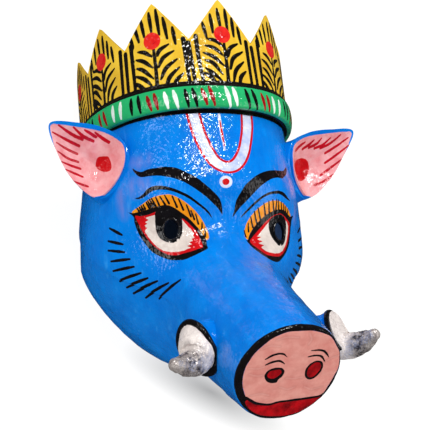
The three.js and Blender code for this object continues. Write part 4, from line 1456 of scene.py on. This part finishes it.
LEAVES_B = [
    [(-16.5, 48.6), (-8.1, 46.9), (-1.5, 41.4)], [(-19.3, 41.9), (-9.8, 39.1), (-2, 31.9)],
    [(-21.5, 34.5), (-11.5, 30.2), (-2, 21.4)], [(-20.4, 26.9), (-12.6, 23.6), (-4.3, 12.5)],
    [(-20.6, 18.9), (-13.7, 13.6), (-5.9, 6.4)], [(-22, 14.1), (-17, 10.2), (-10.9, 4.1)],
    [(3, 31.4), (5.7, 40.2), (14.6, 45.8)], [(4.1, 18.6), (8, 30.2), (19.1, 38)],
    [(6, 5.8), (9.6, 18), (19.1, 27.8)], [(11.9, 1.4), (14.1, 11.4), (20.4, 18)],
]
RAYS_B = [(-3.5, 79.1, -1.8, 60.8), (-11.1, 73, -10, 56.4), (-19.3, 64.1, -16.8, 51.4),
          (4.4, 79.1, 5.2, 59.1), (10.7, 70.8, 11.1, 54.1), (16.3, 61.9, 18, 47.5)]
VALLEYS = [
    [[(-5.4, 49.2), (-2.8, -1.3)], [(-1, 44.8), (2.6, -3.6)], [(6.5, 51.4), (7.6, 25.3), (10.9, -3.6)]],
    [[(-5.8, 49), (-5, 26), (-3.7, -4)], [(0.3, 44.4), (3.6, -3.6)], [(8.7, 53), (10.9, -3.6)]],
    [[(-5.7, 49.4), (-5.9, 20), (-6.2, 0.5)], [(0.4, 45), (0.4, 0.5)], [(7.1, 51.1), (8.2, 0.5)]],
]
LEAF_SWELL = (1.0, 1.75, 2.15, 2.15, 1.7, 0.9)
MARKS_FOOT_Y = 110.2


def leaf(points, stem, tall):
    line = through([(x + stem, y * tall + MARKS_FOOT_Y) for x, y in points])
    share = np.linspace(0, 1, len(line))
    wide = np.interp(share, np.linspace(0, 1, len(LEAF_SWELL)), LEAF_SWELL)
    return ("stroke", np.column_stack([line, wide]))


# %% All marks of the crown
rng = np.random.default_rng(11)
STEMS_SEEN = {0: 1.8, -1: -2.0}  # the two peaks from the photograph, and how far their stems stand aside
RAY_HALF, RAY_TAIL = 2.0, 0.62
STEM_HALVES = (1.4, 1.8, 2.0)
FLOWER_HALF = (8.3, 8.7)
STRIPE_HALF_TOP, STRIPE_HALF_FOOT = 2.3, 1.7
crown_black, crown_red, crown_deep = [], [], []
for peak in range(-4, 5):  # the outermost marks fall beyond the cut ends of the card
    stem = CROWN_TURN + peak * PEAK_PITCH + STEMS_SEEN.get(peak, rng.uniform(-1.5, 1.5))
    leaves, rays, flower_rise = (LEAVES_A, RAYS_A, 50.8) if peak % 2 else (LEAVES_B, RAYS_B, 53)
    tall = rise_of(peak) / PEAK_RISE
    jitter = (0, 0) if peak in STEMS_SEEN else rng.uniform(-0.6, 0.6, 2)
    crown_black += [leaf(np.array(points) + jitter, stem, tall) for points in leaves]
    for x0, y0, x1, y1 in rays:  # each press of the brush reaches a little beyond its two ends
        lean = 0.06 * (x1 - x0)
        high, low = MARKS_FOOT_Y + (y0 + 1.4) * tall, MARKS_FOOT_Y + (y1 - 1.2) * tall
        crown_black.append(dab(stem + x0 - lean, high, stem + x1 + lean, low, RAY_HALF, RAY_TAIL))
    flower_y = 111 + flower_rise * tall
    crown_black.append(stroke([(stem, flower_y - 5), (stem + 0.6, 132), (stem + 0.4, 110)], STEM_HALVES))
    crown_red.append(oval(stem - 0.8, flower_y, *FLOWER_HALF))
    curl = [(stem - 3.4, flower_y + 1.5), (stem - 1, flower_y - 3.3), (stem + 2.6, flower_y - 1)]
    crown_deep.append(stroke(curl, 0.45))
for number in range(-4, 6):
    middle = CROWN_TURN + (number - 0.5) * PEAK_PITCH
    for points in VALLEYS[number % 3]:
        line = [(middle + x, MARKS_FOOT_Y + y) for x, y in points]
        crown_black.append(stroke(line, np.linspace(STRIPE_HALF_TOP, STRIPE_HALF_FOOT, len(line))))
crown_black.append(stroke([(-CARD_HALF, 113.9), (CARD_HALF, 113.9)], 2.3))  # the line along the band
CROWN_LAYERS = {"black": crown_black, "red": crown_red, "deep": crown_deep}
print("marks on the crown:", sum(map(len, CROWN_LAYERS.values())))


# %% Measure the paint on the crown and refine the card
def crown_paint(points):
    return {name: distance_to(marks, crown_chart(points)) for name, marks in CROWN_LAYERS.items()}


def card_outside(points):
    """True on the outer face of the card, away from its cut edge."""
    card_face = crown_at(turn_at(length_at(points)), points[:, 1], CARD)
    return np.linalg.norm(points - card_face, axis=1) < 0.5


refine(crown, crown_paint, card_outside, 1.25, 1)
crown_points = points_of(crown)
outer_card = card_outside(crown_points)
keep_paint(crown, crown_paint(crown_points[outer_card]), outer_card, list(CROWN_LAYERS))
note(crown, "raw_paper", ~outer_card)
shade_smooth(crown, 40)
card_paint = painted(
    "crown_yellow", (YELLOW, WHEAT),
    [("black", BLACK, colour(26, 22, 16)), ("red", RED, colour(226, 52, 40)),
     ("deep", colour(160, 8, 20), RED)],
    inside=(colour(226, 190, 60), colour(190, 150, 40)), gloss=0.34,
)
wear(crown, card_paint)
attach(crown, "root")
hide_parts("crown_card")
print("crown painted:", triangles_of(crown), "triangles")

# %% [markdown]
# ## The padded band
#
# A roll of paper wraps the card's foot, painted green with short strokes of red, white and black in turn,
# and a black line above and below. The lower one fills the corner between the band and the forehead, and is
# dull, so that it doesn't mirror the blue. The roll is a closed section swept round the crown's outline.

# %% Sweep the band
BAND_WALL, BAND_BULGE, BAND_LAP, GAP = 0.8, 3.4, 3, 0.35
BAND_BEYOND, BAND_PITCH = 4, 2.2
band_columns = np.arange(-CARD_HALF - BAND_BEYOND, CARD_HALF + BAND_BEYOND, BAND_PITCH)
arc = np.linspace(0, math.pi, 15)
# height, and distance out from the line of the card
section = [(BAND_BOTTOM_Y + (BAND_TOP_Y - BAND_BOTTOM_Y) * (1 - math.cos(a)) / 2,
            CARD + BAND_WALL + BAND_BULGE * math.sin(a)) for a in arc]
section += [(BAND_TOP_Y, CARD + GAP), (CARD_FOOT_Y - GAP, CARD + GAP), (CARD_FOOT_Y - GAP, -BAND_LAP),
            (BAND_BOTTOM_Y, -BAND_LAP), section[0]]
section = np.array(section)
band_rows = crown_at(turn_at(band_columns)[None, :], section[:, :1], section[:, 1:])
band = sheet_of_rows("crown_band_roll", band_rows)
tidy(band)
cut_at_floor(band, fill=True)
set_down(band, 0)
print("band swept:", triangles_of(band), "triangles")

# %% Marks of the band
BAND_STROKES = {
    "white": [(-108.3, 106, -108.3, 92.7), (-98.3, 106.5, -99.5, 92.7), (-53.9, 104.9, -51.7, 91.6),
              (-45.8, 105.4, -42.8, 91), (1.6, 107.7, 5.5, 90.9), (8.9, 107.1, 12.2, 92.1),
              (53.9, 104.2, 56.6, 91.5), (64.4, 103.7, 65.5, 91.2)],
    "black": [(-86.1, 106, -86.7, 92.7), (-78.9, 107, -77.8, 92.1), (-35.6, 105.4, -33.3, 91),
              (-28.9, 106, -25.6, 91), (21.1, 106.6, 25.5, 90.9), (28.3, 107.1, 33.9, 90.8)],
    "red": [(-129.5, 105, -127, 92.7), (-122.2, 105, -118.9, 92.7), (-70, 104.3, -67.2, 92.1),
            (-63.3, 105.4, -61.1, 92.1), (-20.6, 105.4, -16.7, 92.1), (-13.9, 107.8, -9.5, 91.5),
            (38.9, 104.9, 43.3, 91.5), (46.1, 104.3, 49.4, 91.4)],
}
# beyond the strokes that the photo shows, pairs follow one another: side, where they start, colours in turn
BAND_REPEATS = [(-1, 142.0, ("black", "white", "red")), (1, 76.0, ("black", "red", "white"))]
PAIR_PITCH, PAIR_WIDE = 18.2, 7.4
STROKE_TOP, STROKE_FOOT, STROKE_LEAN, STROKE_HALF, STROKE_TAIL = 106.8, 91.6, 1.3, 2.0, 0.5
PAST_ENDS = 400
LINE_INSET = 2.6  # the lower line starts this far within the card
band_marks = {name: [dab(x0, y0 + 1.2, x1, y1 - 0.6, 2.05, STROKE_TAIL) for x0, y0, x1, y1 in rows]
              for name, rows in BAND_STROKES.items()}
for side, first, names in BAND_REPEATS:
    for number, start in enumerate(np.arange(first, CARD_HALF - 6, PAIR_PITCH)):
        for shift in (0, PAIR_WIDE):
            x = side * (start + shift)
            high, low = STROKE_TOP + rng.uniform(-1, 1), STROKE_FOOT + rng.uniform(-1, 1)
            pressed = dab(x - STROKE_LEAN, high, x + STROKE_LEAN, low, STROKE_HALF, STROKE_TAIL)
            band_marks[names[number % 3]].append(pressed)
band_marks["line"] = [stroke([(-PAST_ENDS, y), (PAST_ENDS, y)], half)
                      for y, half in ((112.6, 2.6), (88.4, 1.8))]
print("marks on the band:", sum(map(len, band_marks.values())))


# %% Measure the paint on the band and refine it
CLEAR_OF_CARD = 0.6
SKIN_WITHIN, SKIN_BELOW = 0.15, 0.3  # nearer than this to the card's face or the band's foot is the outside


def within_card(points):
    """How far the points lie within an outline just outside the card, towards the crown's axis."""
    card_face = crown_at(turn_at(length_at(points)), points[:, 1], CARD + CLEAR_OF_CARD)
    to_card, to_point = (np.hypot(p[:, 0] - CROWN_X, p[:, 2] - HEAD_AXIS_Z) for p in (card_face, points))
    return to_card - to_point


def band_paint(points):
    values = {name: distance_to(marks, crown_chart(points)) for name, marks in band_marks.items()}
    lower = points[:, 1] < (BAND_BOTTOM_Y + BAND_TOP_Y) / 2
    beside_face = LINE_INSET - within_card(points)  # the lower line keeps to the corner between band and face
    values["line"] = np.where(lower, np.maximum(values["line"], beside_face), values["line"])
    return values


def band_outside(points):
    return (within_card(points) <= SKIN_WITHIN) | (points[:, 1] < BAND_BOTTOM_Y + SKIN_BELOW)


refine(band, band_paint, band_outside, 1.3, 1)
band_points = points_of(band)
band_skin = band_outside(band_points)
keep_paint(band, band_paint(band_points[band_skin]), band_skin, list(band_marks))
shade_smooth(band, 50)


def dull_lines(m):
    return m.spread(m.attribute("paint_line"), -0.4, 0.6, 0.12, COAT)


band_enamel = painted(
    "band_green", (GREEN, colour(40, 178, 108)),
    [("red", DARK_RED, colour(160, 16, 22)), ("white", colour(236, 240, 236), colour(200, 222, 208)),
     ("black", BLACK, colour(22, 20, 20)), ("line", BLACK, colour(22, 20, 20))],
    coat_of=dull_lines,
)
wear(band, band_enamel)
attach(band, "root")
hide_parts("crown_band")
print("band painted:", triangles_of(band), "triangles")

# %% [markdown]
# ## Ears
#
# The ears are leaves of pulp cupped forward, pink in the cup with red hairs and one red spot, blue behind.
# The rim is a smooth closed curve through nine places. Rings run from the cup's bottom out to the rim, over
# a rounded lip and back to the root in the side of the head. The mirror gives the other ear its form; the
# paint differs.

# %% The ear's form
EAR_RIM = np.array([[156.5, 84.5, 121], [130, 85.5, 122.5], [107, 83, 119.5], [91, 74, 118.5],
                    [85.5, 55, 117.5], [92, 36, 107.5], [110, 21, 95], [132, 36, 98], [148, 60, 107]])
EAR_CUP_BOTTOM = np.array([107, 53, 91])
EAR_ROOT = np.array([88, 48, 66])
EAR_ROOT_RADIUS = 23
EAR_RIM_THICKNESS = 3.6
EAR_AROUND = 120
CUP_SHARES = (0.999, 0.94, 0.86, 0.78, 0.7, 0.62, 0.54, 0.46, 0.38, 0.3, 0.22, 0.15, 0.08, 0.03)
LIP_ANGLES = np.radians([-80, -40, 0, 40, 80])
LIP_ROOM, LIP_ROLL = 1.3, 0.63
EAR_BELLY = 2  # how far the cup and the back bulge
EAR_SUNK = 1.2  # the back stops this far inside the skin of the head
FILLET, FILLET_FADE = 3.0, 4.0
HUB_SHARES = (0.3, 0.6, 0.9, 1.0)


def closed_curve(points, count):
    """A smooth closed curve through the points, centripetal, so that it never loops at a corner."""
    n = len(points)
    per = int(math.ceil(count / n)) * 4
    out = []
    for i in range(n):
        p0, p1, p2, p3 = (points[(i + k) % n] for k in (-1, 0, 1, 2))
        t1 = np.linalg.norm(p1 - p0) ** 0.5
        t2 = t1 + np.linalg.norm(p2 - p1) ** 0.5
        t3 = t2 + np.linalg.norm(p3 - p2) ** 0.5
        t = np.linspace(t1, t2, per, endpoint=False)[:, None]
        a1 = (t1 - t) / t1 * p0 + t / t1 * p1
        a2 = (t2 - t) / (t2 - t1) * p1 + (t - t1) / (t2 - t1) * p2
        a3 = (t3 - t) / (t3 - t2) * p2 + (t - t2) / (t3 - t2) * p3
        b1 = (t2 - t) / t2 * a1 + t / t2 * a2
        b2 = (t3 - t) / (t3 - t1) * a2 + (t - t1) / (t3 - t1) * a3
        out.append((t2 - t) / (t2 - t1) * b1 + (t - t1) / (t2 - t1) * b2)
    dense = np.vstack(out + [points[:1]])
    length = np.concatenate([[0], np.cumsum(np.linalg.norm(np.diff(dense, axis=0), axis=1))])
    even = np.linspace(0, length[-1], count, endpoint=False)
    return np.column_stack([np.interp(even, length, dense[:, k]) for k in range(3)])


def ear_rings():
    """Rings of the right ear: the cup, the lip, the back, and the closed root inside the head."""
    rim = closed_curve(EAR_RIM, EAR_AROUND)
    middle = rim.mean(0)
    rim = rim - LIP_ROOM * unit(rim - middle)
    backward = unit(EAR_ROOT - middle)
    away = unit(rim - middle)
    rings = []
    for share in CUP_SHARES:
        inward = rim + (EAR_CUP_BOTTOM - rim) * share
        belly = backward * EAR_BELLY * math.sin(share * math.pi)
        rings.append(inward + belly + away * 0.4 * math.exp(-share * 20))
    for angle in LIP_ANGLES:
        round_lip = away * LIP_ROLL * (1 + math.cos(angle))
        rings.append(rim + round_lip + backward * EAR_RIM_THICKNESS * (1 + math.sin(angle)) / 2)
    start = rim + away * EAR_RIM_THICKNESS * 0.35 + backward * EAR_RIM_THICKNESS
    end = EAR_ROOT + away * EAR_ROOT_RADIUS

    def back(shares):
        """Places on the lines of the back, at these shares of the way from the lip to the root."""
        shares = np.asarray(shares)[..., None]
        return start + (end - start) * shares + away * EAR_BELLY * np.sin(shares * math.pi)

    # each line of the back stops just inside the skin of the head
    shares = np.linspace(0, 1, 81)
    sunk = face_field(back(np.tile(shares[:, None], EAR_AROUND))) < -EAR_SUNK
    stop = np.where(sunk.any(0), shares[sunk.argmax(0)], 1)
    for share in np.linspace(0.04, 1, 20):
        point = back(share * stop)
        fillet = FILLET * np.exp(-np.maximum(face_field(point), 0) / FILLET_FADE)
        rings.append(point + away * fillet[:, None])
    last = rings[-1]
    rings += [last + (last.mean(0) - last) * share for share in HUB_SHARES]
    return np.array(rings)


ear_skin = ear_rings()
print("ear rings:", ear_skin.shape)

# %% Marks of the ears
EAR_PINK = [(86, 57), (87, 64), (90, 69), (95, 73.5), (101, 76.8), (109, 79.4), (118, 80.6), (133, 82),
            (141, 83), (148, 83.4), (153, 83.4), (154.4, 79), (147, 58), (133, 35.5), (117, 21.5),
            (110, 22.4), (103, 22.8), (99, 24.8), (95, 28.8), (90, 38), (87, 46)]
HAIRS_LEFT = [[(98.5, 70.5), (105.3, 74.3), (112.3, 78.3)], [(110.7, 75), (117.3, 77.7), (122.7, 79.7)],
              [(112.7, 71.9), (123.3, 75.3), (133.3, 81.5)], [(123.3, 73), (133.3, 76.3), (147.3, 83)],
              [(125.7, 68.3), (136.7, 72), (152.3, 77.3)], [(127, 62.1), (136.7, 64.7), (148.3, 69.3)],
              [(126, 55.2), (136.7, 57), (146.7, 61.9)], [(123.7, 49.2), (133.3, 50.7), (143, 53)],
              [(122.1, 41.7), (130.7, 44), (139, 46.3)], [(117.5, 32.5), (124.7, 34), (132.3, 36)]]
SPOT_LEFT = [(95.7, 50.7), (97.7, 58.7), (100.7, 60.3), (106.7, 60), (108.3, 55.3), (106.7, 50.7),
             (101.3, 46.3), (96.7, 46.3)]
HAIRS_RIGHT = [[(93.3, 65.3), (99.3, 70.7), (104.7, 74.3)], [(103.7, 68.8), (110, 72.7), (114.3, 76.3)],
               [(110.7, 70.3), (118, 73.3), (122, 77.7)], [(117, 69.7), (125.3, 72.7), (132.3, 78.3)],
               [(123.7, 70), (133.3, 74), (143, 81)], [(130, 65.9), (140, 71.3), (151.7, 78.5)],
               [(130.3, 56.7), (140, 62.7), (152.7, 71.3)], [(125.3, 44.7), (135.3, 51.3), (146, 58.3)],
               [(118, 34.7), (128, 38.3), (137.3, 44.3)]]
HAIR_HALVES = (1.15, 1.25, 0.7)
EAR_MARKS = {
    "left": {"pink": [patch(EAR_PINK)], "hair": [stroke(line, HAIR_HALVES) for line in HAIRS_LEFT],
             "spot": [patch(SPOT_LEFT)]},
    "right": {"pink": [patch(EAR_PINK)], "hair": [stroke(line, HAIR_HALVES) for line in HAIRS_RIGHT],
              "spot": [oval(103, 50, 13.2, 10, 45)]},
}
LIP_MIDDLE_ROW = len(CUP_SHARES) + len(LIP_ANGLES) // 2
FRONT_FROM = 0.45  # the note of a vertex is 1 in the cup and 0 behind, and this divides the two
ear_enamel = painted(
    "ear_enamel", (BLUE, DEEP_BLUE, PALE_BLUE),
    [("pink", PINK, colour(228, 136, 140)), ("hair", colour(196, 14, 34), colour(168, 16, 34)),
     ("spot", RED, colour(186, 12, 22))],
)


def mark_cup(ear, rows):
    """Notes for each vertex whether it lies before the middle of the lip, by the row it was laid on."""
    count, around = rows.shape[:2]
    known = KDTree(count * around)
    for i, point in enumerate(rows.reshape(-1, 3)):
        known.insert(point, i // around)
    known.balance()
    on_row = np.array([known.find(point)[1] for point in points_of(ear)])
    note(ear, "cup", np.interp(on_row, (LIP_MIDDLE_ROW - 1, LIP_MIDDLE_ROW + 1), (1, 0)))


def make_ear(side, word):
    rows = ear_skin * np.array([side, 1, 1])
    ear = sheet_of_rows("ear_leaf_" + word, np.concatenate([rows, rows[:, :1]], axis=1))
    tidy(ear)
    mark_cup(ear, rows)

    def front(points):
        """The side of the leaf that looks forward: the cup and the front half of the lip."""
        values = np.empty(len(points), np.float32)
        ear.data.attributes["cup"].data.foreach_get("value", values)
        return values > FRONT_FROM

    def paint(points):
        chart = points[:, :2] * np.array([side, 1])
        return {name: distance_to(marks, chart) for name, marks in EAR_MARKS[word].items()}

    refine(ear, paint, front, 0.9, 2)
    points = points_of(ear)
    forward = front(points)
    keep_paint(ear, paint(points[forward]), forward, list(EAR_MARKS[word]))
    ear.vertex_groups.new(name="pulp").add(list(range(len(points))), 1.0, "REPLACE")
    press_in(ear, "ear_lumps", 9, 0.6, "pulp")
    ear.vertex_groups.clear()
    tidy(ear, smooth=50)
    wear(ear, ear_enamel)
    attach(ear, "root")
    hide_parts("ear_" + word)
    print(ear.name, triangles_of(ear), "triangles")


make_ear(-1, "left")
make_ear(1, "right")

# %% [markdown]
# ## The floor's paper
#
# White studio paper, very slightly mottled. It was lit from all round. The paper also glows as painted light,
# so that it reads as white. The glow is less in an ellipse beside the snout, which is a painted soft shadow,
# and there is none under the middle of the mask, which is painted shade there. In reflections the paper is
# dark, so that it doesn't wash out the enamel.

# %% Floor material
# The paper's glow is painted light. Less of it in an ellipse beside the snout is a painted shadow, and none
# under the middle of the mask is painted shade.
PAINTED_SHADOW_AT, PAINTED_SHADOW_TURN, PAINTED_SHADOW_HALF = (18.7, -157.4), -30, (104, 26.4)
GLOW_IN_PAINTED_SHADOW, GLOW = 0.33, 0.92
PAINTED_SHADE_UNDER_MASK = (70, 90)  # the glow starts between these distances from the mask's middle
paper = Bench("studio_paper")


def length_of(vector):
    node = paper.add("ShaderNodeVectorMath", operation="LENGTH")
    paper.feed(node.inputs[0], vector)
    return node.outputs["Value"]


tone = paper.mix(paper.noise(4, 4), colour(112, 110, 106), colour(104, 103, 100))
fibres = paper.bump(paper.noise(900, 4, 0.6), 0.05, 0.4)
in_painted_shadow = paper.add("ShaderNodeMapping", vector_type="TEXTURE")
paper.feed(in_painted_shadow.inputs["Vector"], paper.place)
in_painted_shadow.inputs["Location"].default_value = (PAINTED_SHADOW_AT[0] * MM, PAINTED_SHADOW_AT[1] * MM, 0)
in_painted_shadow.inputs["Rotation"].default_value = (0, 0, math.radians(PAINTED_SHADOW_TURN))
in_painted_shadow.inputs["Scale"].default_value = (PAINTED_SHADOW_HALF[0] * MM, PAINTED_SHADOW_HALF[1] * MM, 1)
from_painted_shadow = paper.spread(length_of(in_painted_shadow.outputs["Vector"]), 0, 1, GLOW_IN_PAINTED_SHADOW, GLOW)
beside_mask = paper.spread(length_of(paper.place), PAINTED_SHADE_UNDER_MASK[0] * MM, PAINTED_SHADE_UNDER_MASK[1] * MM)
# the glow as painted light, with the painted shadow and the painted shade under the mask taken out of it
glow = paper.math("MULTIPLY", from_painted_shadow, beside_mask)
glossy = paper.add("ShaderNodeLightPath").outputs["Is Glossy Ray"]
paper.finish(Base_Color=paper.mix(glossy, tone, colour(40, 40, 42)), Roughness=0.9, Normal=fibres,
             Specular_IOR_Level=0.0, Emission_Color=(1, 1, 1, 1),
             Emission_Strength=paper.math("MULTIPLY", glow, paper.math("SUBTRACT", 1.0, glossy)))
wear(floor, paper.material)

# %% [markdown]
# ## Write the sizes and finish
#
# The dressed mask has to stay inside the box of the CAD model. The box of the dressed mask is written
# down, with its count of triangles.

# %% Write the sizes and finish
low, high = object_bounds()
print("visual box, mm:", [round(v / MM, 1) for v in (*low, *high)])
print("triangles in all:", sum(triangles_of(o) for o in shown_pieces() if o.type == "MESH"))
